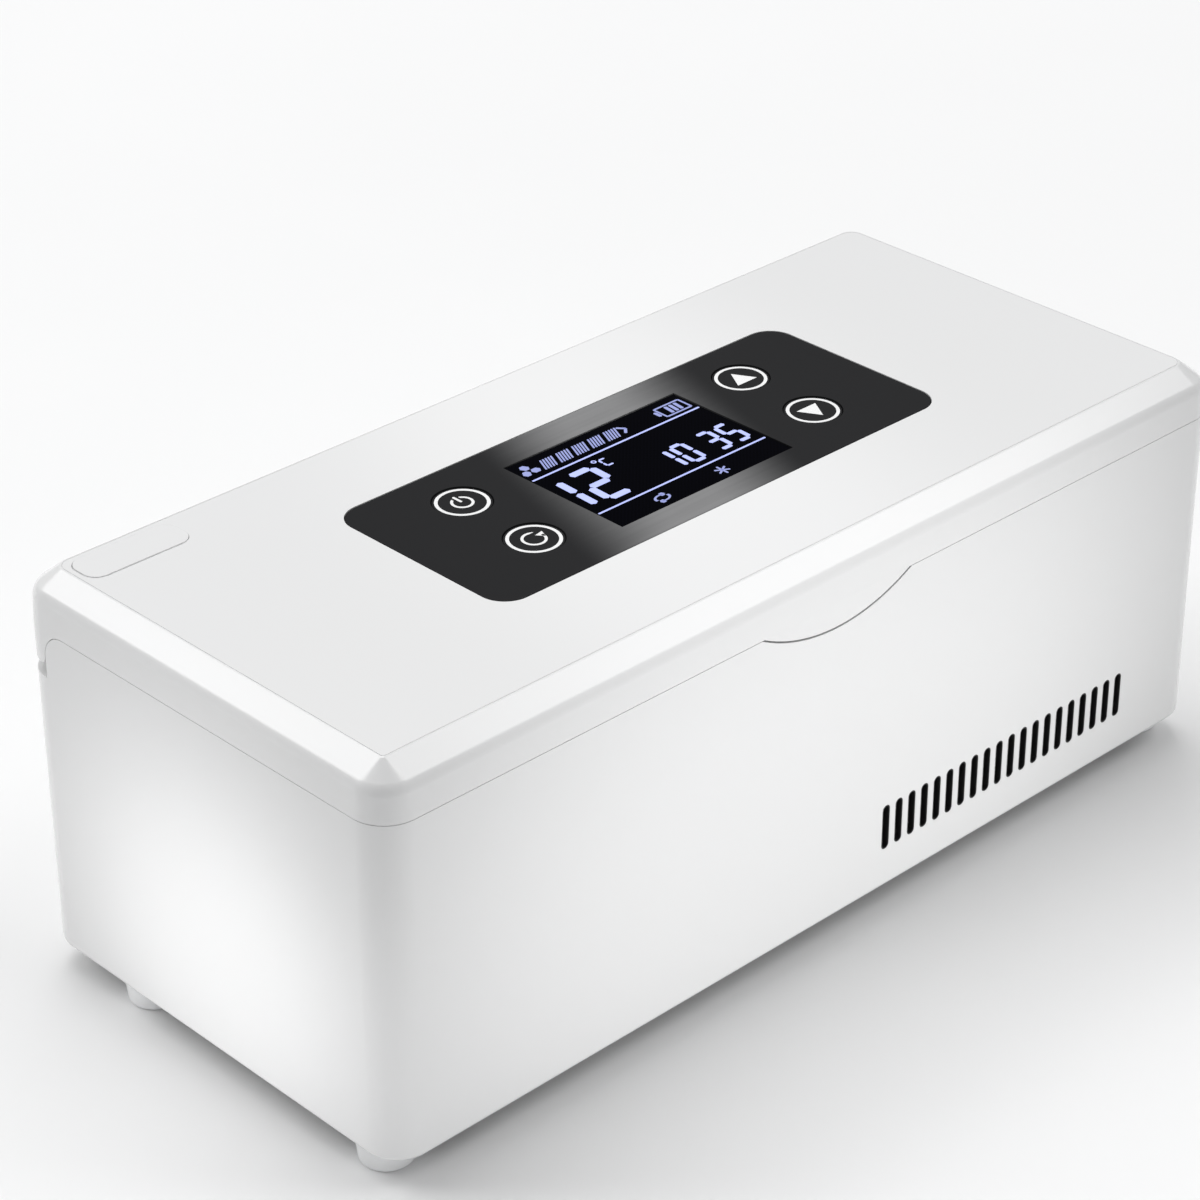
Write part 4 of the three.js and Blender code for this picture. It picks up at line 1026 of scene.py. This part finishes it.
# %% The readout
BIG = {"v": -0.6, "height": 10.3, "width": 4.9, "thickness": 1.5}
SMALL = {"v": -3.1, "height": 6.5, "width": 2.6, "thickness": 0.9}
UNIT = {"v": 4.2, "height": 2.4, "width": 1.4, "thickness": 0.4}
DEGREE = {"u": -7.7, "v": 5.6, "radius": 0.52, "rim": 0.26}
RULE_WIDTH = 0.42
RULE_HEIGHTS = (7.7, -8.4)
RULE_MARGIN = 0.6
readout = []
for sign, place, size in (("1", -20.0, BIG), ("2", -12.2, BIG), ("1", 2.0, SMALL), ("0", 6.3, SMALL),
                          ("3", 12.8, SMALL), ("5", 17.2, SMALL), ("C", -6.1, UNIT)):
    readout += digit(sign, place, **size)
readout.append(ring(**DEGREE))
rule_length = (window_high.x - window_low.x) / MM - RULE_MARGIN
readout += [lit_bar(0, height, rule_length, RULE_WIDTH, turn=90) for height in RULE_HEIGHTS]
dress(gather("readout", readout), "lid", lit, "display")

# %% Small signs on the display
GAUGE_START, GAUGE_END, GAUGE_HEIGHT = -14.6, 4.4, 10.8
GAUGE_BLOCKS, BLOCK_PITCH = 5, 3.75
BLOCK_BARS, BAR_PITCH = 5, 0.62
FAN_U, FAN_V = -17.8, 10.9
PETAL_REACH, PETAL_LEAN = 1.2, 60
BATTERY_U, BATTERY_V = 16.4, 10.65
BATTERY_SIDES, BATTERY_RULES, BATTERY_TIP = (13.4, 19.3), (8.9, 12.4), 12.7
CHARGE_START, CHARGE_PITCH, CHARGE_BARS = 15.5, 1.12, 3
SNOW_U, LOW_SIGNS = 6.0, -11.7
LOOP_U, LOOP_SQUASH = -8.3, 0.66
LOOP_GAPS = (((0.5, 0.3, -1), (1.9, 0.75, 1)), ((-1.9, -0.75, -1), (-0.5, -0.3, 1)))

gauge = [lit_bar(GAUGE_START + BLOCK_PITCH * i + BAR_PITCH * j, GAUGE_HEIGHT, length=3.5, width=0.34, turn=-24)
         for i in range(GAUGE_BLOCKS) for j in range(BLOCK_BARS)]
gauge += [lit_bar(GAUGE_END, GAUGE_HEIGHT + 0.6 * side, length=1.9, width=0.55, turn=42 * side) for side in (-1, 1)]
petals = {turn: PETAL_REACH * Vector((math.cos(math.radians(turn)), math.sin(math.radians(turn))))
          for turn in (90, 210, 330)}
fan_sign = [lit_bar(FAN_U + petal.x, FAN_V + petal.y, length=1.9, width=1.45, turn=turn - PETAL_LEAN)
            for turn, petal in petals.items()]
battery = [lit_bar(BATTERY_U, height, length=5.9, width=0.4, turn=90) for height in BATTERY_RULES]
battery += [lit_bar(side, BATTERY_V, length=3.7, width=0.4) for side in BATTERY_SIDES]
battery.append(lit_bar(BATTERY_TIP, BATTERY_V, length=1.9, width=0.7))
battery += [lit_bar(CHARGE_START + CHARGE_PITCH * i, BATTERY_V, length=2.7, width=0.7, turn=-6)
            for i in range(CHARGE_BARS)]
snow = [lit_bar(SNOW_U, LOW_SIGNS, length=2.9, width=0.4, turn=turn) for turn in (0, 60, 120)]

loop_middle = on_glass(LOOP_U, LOW_SIGNS)
loop_sign = ring(LOOP_U, LOW_SIGNS, radius=1.7, rim=0.5)
open_mesh(loop_sign, "VERT")
bpy.ops.mesh.select_all(action="SELECT")
bpy.ops.transform.resize(value=(1, LOOP_SQUASH, 1), center_override=loop_middle)
close_mesh()
cut(loop_sign, *[block("gap", loop_middle + Vector(low) * MM, loop_middle + Vector(high) * MM)
                 for low, high in LOOP_GAPS])
arrows = [lit_bar(LOOP_U + 0.75 * side, LOW_SIGNS + 0.95 * side, length=1.2, width=1.0, turn=90)
          for side in (-1, 1)]
small_signs = gather("readout_signs", [*gauge, *fan_sign, *battery, *snow, loop_sign, *arrows])
dress(small_signs, "lid", dim, "display")

# %% [markdown]
# ## Keys
#
# Each key is a round cap that stands level with the panel and travels 0.4 mm. The cap starts as a cylinder: its
# upper edge is rounded, its top is inset and set down a little, so that a finger finds it. The white ring and
# the sign on it are printed plates that ride on the same key. The left pair is power and an automatic
# programme, shown by a turning arrow, and the right pair steps the setting up and down.

# %% Key caps
KEY_EDGE = 0.15 * MM
KEY_DISH = 0.04 * MM
KEY_RIM = 0.06 * MM
KEY_SIDES = 72


def key_cap(key):
    low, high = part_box("key_" + key)
    cap = pillar("cap_" + key, KEY_RADIUS, key_places[key], low.z, high.z, KEY_SIDES)
    round_edges(cap, level(high.z), KEY_EDGE, steps=3)
    mesh = open_mesh(cap, "FACE")
    pick_faces(mesh, lambda middle, normal: normal.z > ALONG)
    bpy.ops.mesh.inset(thickness=KEY_RIM)
    bpy.ops.transform.translate(value=(0, 0, -KEY_DISH))
    close_mesh()
    return cap


for key in KEYS:
    dress(key_cap(key), "key_" + key, film, "black_gloss", "key_" + key)

# %% Printed signs
INK_THICKNESS = 0.05 * MM
RING_OUTER = 4.75
RING_RIM = 0.62
SIGN_SIDES = 56
SIGN_RIM = 0.5
INK_CORNER = 0.4


def ink_place(key, u, v):
    """A place on a key's dished top, in millimetres from its middle."""
    return Vector((key_places[key].x + u * MM, key_places[key].y + v * MM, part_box("key_" + key)[1].z - KEY_DISH))


def ink_disc(key, radius, sides, rim=0.0):
    """A flat printed disc, or a ring where a rim is given."""
    return flat_disc(ink_place(key, 0, 0), radius * MM, INK_THICKNESS, sides, rim * MM)


def ink_bar(key, u, v, width, height):
    """A flat printed bar with its corners rounded."""
    middle = ink_place(key, u, v)
    half = Vector((width * MM, height * MM, INK_THICKNESS)) / 2
    return block("ink", middle - half, middle + half, INK_CORNER * width * MM, steps=4)


def gapped_ring(key, radius, low, high):
    """A ring with a box cut out of it, from one place on the key to another."""
    part = ink_disc(key, radius, SIGN_SIDES, SIGN_RIM)
    cut(part, block("gap", ink_place(key, *low) - up(MM), ink_place(key, *high) + up(MM)))
    return part


def triangle(key, u, v, radius, turn):
    """A three-sided disc, with one corner turned to so many degrees."""
    sign = ink_disc(key, radius, 3)
    middle = ink_place(key, 0, 0)
    corner = max(sign.data.vertices, key=lambda vertex: (vertex.co - middle).to_2d().length).co - middle
    only(sign)
    bpy.ops.transform.rotate(value=math.atan2(corner.y, corner.x) - math.radians(turn), orient_axis="Z",
                             center_override=middle)
    bpy.ops.transform.translate(value=(u * MM, v * MM, 0))
    return settle("ink")


signs = {
    "power": [gapped_ring("power", radius=2.05, low=(-0.75, 0.7), high=(0.75, 2.9)),
              ink_bar("power", 0, 1.3, width=0.5, height=2.3)],
    "auto": [gapped_ring("auto", radius=2.25, low=(0.4, 0.25), high=(3.0, 1.7)),
             triangle("auto", 1.9, 0.4, radius=1.05, turn=-80)],
    "up": [triangle("up", 0, -0.3, radius=2.75, turn=90)],
    "down": [triangle("down", 0, 0.3, radius=2.75, turn=-90)],
}
for key, parts in signs.items():
    printed = gather("sign_" + key, [ink_disc(key, RING_OUTER, KEY_SIDES, RING_RIM), *parts])
    dress(printed, "key_" + key, ink, "black_gloss")

# %% [markdown]
# ## Feet and underside
#
# Four milky feet carry the case. Each is a pad under the rim, wider at the top and with a rounded lower edge, on a
# stem that reaches the cover: a cylinder whose top is inset and extruded. The bottom cover is a plate with an intake
# grille of ring slots under the fan. A ring slot starts as a disc that is made a tunnel, and bars left across it hold
# the plate together. The bars leave thin wedges near the hub, and these cuts use the Manifold solver.

# %% Feet
FOOT_TAPER = 0.5 * MM
FOOT_ROUND = 0.6 * MM
FOOT_STEM = 3 * MM
FOOT_GAP = 0.1 * MM
FOOT_SIDES = 56
pad_top = body_low.z - FOOT_GAP
for name in [f"foot_{end}_{side}" for end in ("front", "rear") for side in ("left", "right")]:
    low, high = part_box(name)
    middle, radius = (low + high) / 2, (high.x - low.x) / 2
    foot = pillar(name + "_pad", radius, middle, low.z, pad_top, FOOT_SIDES)
    step_up(foot, radius - FOOT_STEM, high.z - pad_top)
    mesh = open_mesh(foot, "FACE")
    pick_faces(mesh, lambda centre, normal: normal.z < -ALONG)
    shrink = 1 - FOOT_TAPER / radius
    bpy.ops.transform.resize(value=(shrink, shrink, 1), center_override=(middle.x, middle.y, low.z))
    close_mesh()
    round_edges(foot, level(low.z), FOOT_ROUND, steps=4)
    dress(foot, "case", silicone, "silicone", name)

# %% Bottom cover
COVER_RADIUS = CORNER - WALL - DECK_GAP
COVER_THICKNESS = 2 * MM
COVER_EDGE = 0.3 * MM
GRILLE_RINGS = 4
GRILLE_SIDES = 96
GRILLE_SLOT = 2.6 * MM
GRILLE_PITCH = 4.8 * MM
GRILLE_HUB = 4 * MM
GRILLE_SPOKES = 4
SPOKE_WIDTH = 3.2 * MM
COUNTERBORE = 1 * MM
HEAD_ROOM = 2.7 * MM
SCREW_HOLE = 1.25 * MM
HOLE_SIDES = 40
cover_low, cover_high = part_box("bottom_cover")
cover_top = cover_low.z + COVER_THICKNESS
below = cover_low.z - MM
fan_middle = Vector(joints["fan_spin"]["pos_m"])
cover_screws, liner_screws = ([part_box(f"{kind}_screw_{i}") for i in range(1, 5)] for kind in ("cover", "liner"))

bottom_plate = block("bottom_plate", cover_low, (cover_high.x, cover_high.y, cover_top), COVER_RADIUS)
round_edges(bottom_plate, level(cover_low.z), COVER_EDGE, steps=2)
rings = []
for i in range(GRILLE_RINGS):
    outer = GRILLE_HUB + i * GRILLE_PITCH + GRILLE_SLOT
    rings.append(pillar("grille_ring", outer, fan_middle, below, cover_top + MM, GRILLE_SIDES))
    tunnel(rings[-1], GRILLE_SLOT)
grille = gather("grille", rings)
grille_reach = GRILLE_HUB + GRILLE_RINGS * GRILLE_PITCH
for i in range(GRILLE_SPOKES):
    spoke = block("spoke", (-grille_reach, -SPOKE_WIDTH / 2, below - MM),
                  (grille_reach, SPOKE_WIDTH / 2, cover_top + 2 * MM))
    spoke.rotation_euler.z = (i + 0.5) * math.pi / GRILLE_SPOKES
    spoke.location = (fan_middle.x, fan_middle.y, 0)
    only(spoke)
    cut(grille, settle("spoke"), solver="MANIFOLD")
cut(bottom_plate, grille, solver="MANIFOLD")
for low, high in cover_screws:
    middle = (low + high) / 2
    cut(bottom_plate, pillar("hole", SCREW_HOLE, middle, below, cover_top + MM, HOLE_SIDES),
        pillar("counterbore", HEAD_ROOM, middle, below, cover_low.z + COUNTERBORE, HOLE_SIDES), solver="MANIFOLD")
dress(bottom_plate, "case", satin_white, "white_plastic", "bottom_cover")

# %% [markdown]
# ## Chamber
#
# Under the lid is a white deck with the mouth of the chamber, and in it a tray of drawn aluminium. A drawn tray is
# one sheet, so it is modelled as one: the flange is a plate's face, the mouth is inset in it and pushed down
# to the floor, the two bends are rounded, and a Solidify modifier gives the sheet its thickness.

# %% Deck
CHAMBER_CORNER = 6 * MM
FLANGE = 4 * MM
MOUTH_EDGE = 0.7 * MM
MAGNET_ROOM = 2.8 * MM
MAGNET_DEPTH = 1.4 * MM
tray_low, tray_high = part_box("chamber_tray")
flange = Vector((FLANGE, FLANGE, 0))
mouth_low, mouth_high = tray_low + flange, tray_high - flange
magnet = middle_of("catch_magnet_deck")

deck = block("deck", deck_low, deck_high, COVER_RADIUS)
cut(deck, block("mouth", mouth_low, mouth_high + up(REACH), CHAMBER_CORNER))
round_edges(deck, within((mouth_low.x, mouth_high.x), (mouth_low.y, mouth_high.y), (deck_high.z, deck_high.z)),
            MOUTH_EDGE, steps=4)
cut(deck, pillar("magnet_seat", MAGNET_ROOM, magnet, deck_high.z - MAGNET_DEPTH, deck_high.z + REACH))
dress(deck, "case", satin_white, "white_plastic", "inner_deck")

# %% Tray
TRAY_WALL = 1 * MM
TRAY_BEND = 3 * MM
TRAY_LIP = 0.9 * MM
tray_floor = tray_low.z + TRAY_WALL
tray = block("tray", (tray_low.x, tray_low.y, tray_high.z - MM), tray_high, CHAMBER_CORNER + FLANGE)
mesh = open_mesh(tray, "FACE")
pick_faces(mesh, lambda middle, normal: normal.z < ALONG)
bpy.ops.mesh.delete(type="FACE")
close_mesh()
step_up(tray, FLANGE, tray_floor - tray_high.z)
round_edges(tray, level(tray_floor), TRAY_BEND, steps=6)
round_edges(tray, level(tray_high.z, SHARP), TRAY_LIP, steps=4)
only(tray)
sheet = tray.modifiers.new("sheet", "SOLIDIFY")
sheet.thickness = TRAY_WALL
sheet.offset = -1
bpy.ops.object.modifier_apply(modifier=sheet.name)
dress(tray, "case", tray_metal, "aluminium", "chamber_tray")

# %% [markdown]
# ## Lid liner and seal
#
# With the lid open its inner face shows: a flat pan that plugs the mouth, a flange that fills the skirt, and a soft
# seal round the pan. The pan and the flange are two blocks joined, with the pan's lower edge well rounded. The seal
# is a plate made a tunnel, with its lower edges rounded to a bulb.

# %% Liner
PAN_EDGE = 1 * MM
LINER_WALL = 1.6 * MM
PAN_GAP = 1.2 * MM
PAN_CORNER = CORNER - WALL - PAN_GAP
liner_low, liner_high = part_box("lid_liner")
pan_low = Vector((body_low.x + WALL + PAN_GAP, body_low.y + WALL + PAN_GAP, liner_low.z))
pan_high = Vector((body_high.x - WALL - PAN_GAP, deck_rear - PAN_GAP, liner_high.z - LINER_WALL / 2))

liner = block("liner", (liner_low.x, liner_low.y, liner_high.z - LINER_WALL), liner_high, COVER_RADIUS)
pan = block("pan", pan_low, pan_high, PAN_CORNER)
round_edges(pan, level(pan_low.z), PAN_EDGE, steps=5)
combine(liner, pan, "UNION")
cut(liner, block("pan_hollow", pan_low + Vector((LINER_WALL, LINER_WALL, LINER_WALL)),
                 pan_high - Vector((LINER_WALL, LINER_WALL, -REACH)), PAN_CORNER - LINER_WALL))
for low, high in liner_screws:
    cut(liner, pillar("hole", SCREW_HOLE, (low + high) / 2, liner_low.z - MM, liner_high.z, HOLE_SIDES))
cut(liner, pillar("magnet_seat", MAGNET_ROOM, magnet, liner_low.z - MM, liner_low.z + MAGNET_DEPTH))
dress(liner, "lid", satin_white, "white_plastic", "lid_liner")

# %% Seal
SEAL_WIDTH = 2.4 * MM
SEAL_CORNER = 9.4 * MM
SEAL_BULB = 0.6 * MM
seal_low, seal_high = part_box("lid_gasket")
seal = block("seal", seal_low, seal_high, SEAL_CORNER)
tunnel(seal, SEAL_WIDTH)
round_edges(seal, level(seal_low.z, SHARP), SEAL_BULB, steps=4)
dress(seal, "lid", silicone, "silicone", "lid_gasket")

# %% [markdown]
# ## Screws, magnets, pins and socket
#
# Small hardware tells the eye how big a thing is. One screw is modelled for the cover and one for the liner,
# with a domed head and a cross recess, and then copied. The magnets and the hinge pins are turned parts with
# broken edges. The charging socket has a sleeve, a bore and a centre pin.

# %% Screws
HEAD_HEIGHT = 1.4 * MM
HEAD_RADIUS = 2.4 * MM
HEAD_ROUND = 0.65 * MM
SHANK_RADIUS = 1.1 * MM
CROSS_LENGTH = 2.6 * MM
CROSS_WIDTH = 0.55 * MM
CROSS_DEPTH = 0.8 * MM


def screw(name, low, high):
    """A screw with its head down, between the lowest and highest corner of its CAD node."""
    middle = (low + high) / 2
    head = pillar(name, HEAD_RADIUS, middle, low.z, low.z + HEAD_HEIGHT, sides=48)
    round_edges(head, level(low.z), HEAD_ROUND, steps=5)
    combine(head, pillar("shank", SHANK_RADIUS, middle, low.z + HEAD_HEIGHT / 2, high.z, sides=32), "UNION")
    for length, width in ((CROSS_LENGTH, CROSS_WIDTH), (CROSS_WIDTH, CROSS_LENGTH)):
        half = Vector((length / 2, width / 2, 0))
        cut(head, block("cross", Vector((middle.x, middle.y, low.z - MM)) - half,
                        Vector((middle.x, middle.y, low.z + CROSS_DEPTH)) + half))
    return head


for kind, body, places in (("cover_screw", "case", cover_screws), ("liner_screw", "lid", liner_screws)):
    first_low, first_high = places[0]
    model = screw(kind, first_low, first_high)
    for i, (low, high) in enumerate(places, 1):
        dress(copy_of(model, f"{kind}_{i}_head", low - first_low), body, bright_steel, "steel", f"{kind}_{i}")
    bpy.data.objects.remove(model)

# %% Magnets and pins
MAGNET_EDGE = 0.25 * MM
PIN_EDGE = 0.2 * MM


def turned_part(name, node, axis, edge):
    """A rod that fills its CAD node's box along an axis, with broken edges."""
    low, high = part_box(node)
    start = (low + high) / 2
    end = start.copy()
    start[axis], end[axis] = low[axis], high[axis]
    part = rod(name, (high.y - low.y) / 2, start, end, sides=40)
    round_edges(part, within(), edge, steps=3)
    return part


for side, body in (("deck", "case"), ("lid", "lid")):
    node = "catch_magnet_" + side
    dress(turned_part("magnet_" + side, node, 2, MAGNET_EDGE), body, bright_steel, "steel", node)
for side in ("left", "right"):
    node = "hinge_pin_" + side
    dress(turned_part("pin_" + side, node, 0, PIN_EDGE), "case", bright_steel, "steel", node)

# %% Charging socket
NOSE_RADIUS = 3.9 * MM
NOSE_LENGTH = 2.3 * MM
NOSE_EDGE = 0.3 * MM
SOCKET_BORE = 2.8 * MM
SOCKET_DEPTH = 9 * MM
SOCKET_EDGE = 0.4 * MM
CONTACT_RADIUS = 1.05 * MM
jack_low, jack_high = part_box("dc_jack")
housing_rear = jack_high.y - NOSE_LENGTH
bore_end = jack_high.y - SOCKET_DEPTH
contact_tip = jack_high.y - SOCKET_BORE

socket = block("socket", jack_low, (jack_high.x, housing_rear, jack_high.z))
round_edges(socket, within(), SOCKET_EDGE, steps=3)
nose = jack_rod("nose", NOSE_RADIUS, housing_rear - MM, jack_high.y)
round_edges(nose, within(y=(jack_high.y, jack_high.y)), NOSE_EDGE, steps=3)
combine(socket, nose, "UNION")
cut(socket, jack_rod("bore", SOCKET_BORE, bore_end, jack_high.y + MM))
dress(socket, "case", moulded, "black_plastic", "dc_jack")
contact = jack_rod("contact", CONTACT_RADIUS, bore_end - MM, contact_tip, sides=32)
round_edges(contact, within(y=(contact_tip, contact_tip)), SOCKET_EDGE, steps=4)
dress(contact, "case", bright_steel, "steel")

# %% [markdown]
# ## Nodes that keep their CAD shape
#
# The foam, the boards, the cells, the fan and the heat pump are right as they are: flat faces and plain edges. They
# stay, and each gets its finish by its name.

# %% Finishes for carried-over nodes
finish_of = {
    "chamber_insulation": foam, "lid_insulation": foam, "cold_plate": tray_metal, "peltier_module": ceramic,
    "heat_sink": sink_metal, "fan_frame": moulded, "fan_rotor": moulded, "temperature_sensor": moulded,
    "battery_cradle": moulded, "main_board": mask, "display_board": mask,
}
finish_of.update({f"battery_cell_{i}": wrap for i in (1, 2, 3)})
finish_of.update({f"key_switch_{i}": moulded for i in (1, 2, 3, 4)})
for name, finish in finish_of.items():
    nodes[name].data.materials.clear()
    nodes[name].data.materials.append(finish)
print(len(finish_of), "CAD nodes keep their shape")

# %% [markdown]
# ## Light and floor
#
# A white case on a pale table needs light that differs from face to face, or it turns into a flat patch. Two soft
# boxes stand where the chamfers mirror them, one at the front right and one at the rear left, so the chamfers are
# the brightest faces. A large one overhead and a pale room fill the rest. Three spots lift the middle of the front,
# of the left wall and of the top, and leave the upright corner darker. The floor is a plain pale plane that
# keeps the contact shadow.

# %% Floor and room
FLOOR_SIZE = 6.0
ROOM_COLOUR = (0.98, 0.99, 1.0, 1)
ROOM_STRENGTH = 0.31


def pale_floor():
    finish = Finish("pale_floor", {"Specular IOR Level": 0.2})
    clouds = finish.noise(6)
    return finish.vary(clouds, grey(0.86), grey(0.88), 0.5 + 0.1 * clouds)


clear()
bpy.ops.mesh.primitive_plane_add(size=FLOOR_SIZE)
floor = settle("floor")
floor.data.materials.append(pale_floor())

scene = bpy.context.scene
scene.view_settings.view_transform = "Standard"
world = bpy.data.worlds.new("pale_room")
scene.world = world
world.use_nodes = True
room = world.node_tree.nodes["Background"]
room.inputs["Color"].default_value = ROOM_COLOUR
room.inputs["Strength"].default_value = ROOM_STRENGTH
print("Floor of", FLOOR_SIZE, "m in", world.name)

# %% Lamps
LAMP_DISTANCE = 3.6
LAMP_AIM = up(60 * MM)
SPOT_RADIUS = 20 * MM


def lamp_at(kind, name, place, aim, power):
    """A lamp of one kind that looks at a point of the case."""
    clear()
    bpy.ops.object.light_add(type=kind, location=place)
    lamp = bpy.context.object
    lamp.name = name
    lamp.rotation_euler = (Vector(aim) - Vector(place)).to_track_quat("-Z", "Y").to_euler()
    lamp.data.energy = power
    return lamp


for name, way, power, size in (
        ("box_front_right", (0.55, -0.375, 0.746), 31.0, 1.7),
        ("box_rear_left", (-0.40, 0.63, 0.665), 44.0, 1.8),
        ("box_top", (0.13, 0.34, 0.93), 65.0, 2.45)):
    box = lamp_at("AREA", name, LAMP_AIM + LAMP_DISTANCE * Vector(way), LAMP_AIM, power)
    box.data.shape = "SQUARE"
    box.data.size = size
for name, place, aim, power, width in (
        ("spot_front", (0.0, -0.95, 0.08), (-0.004, -0.046, 0.018), 15.2, 15.5),
        ("spot_left", (-1.0, -0.02, 0.08), (-0.1, -0.003, 0.024), 16.5, 6.3),
        ("spot_top", (0.28, 0.9, 0.5), (-0.0015, 0.0, 0.077), 14.0, 6.0)):
    spot = lamp_at("SPOT", name, place, aim, power)
    spot.data.spot_size = math.radians(width)
    spot.data.spot_blend = 1.0
    spot.data.shadow_soft_size = SPOT_RADIUS
    spot.visible_glossy = False
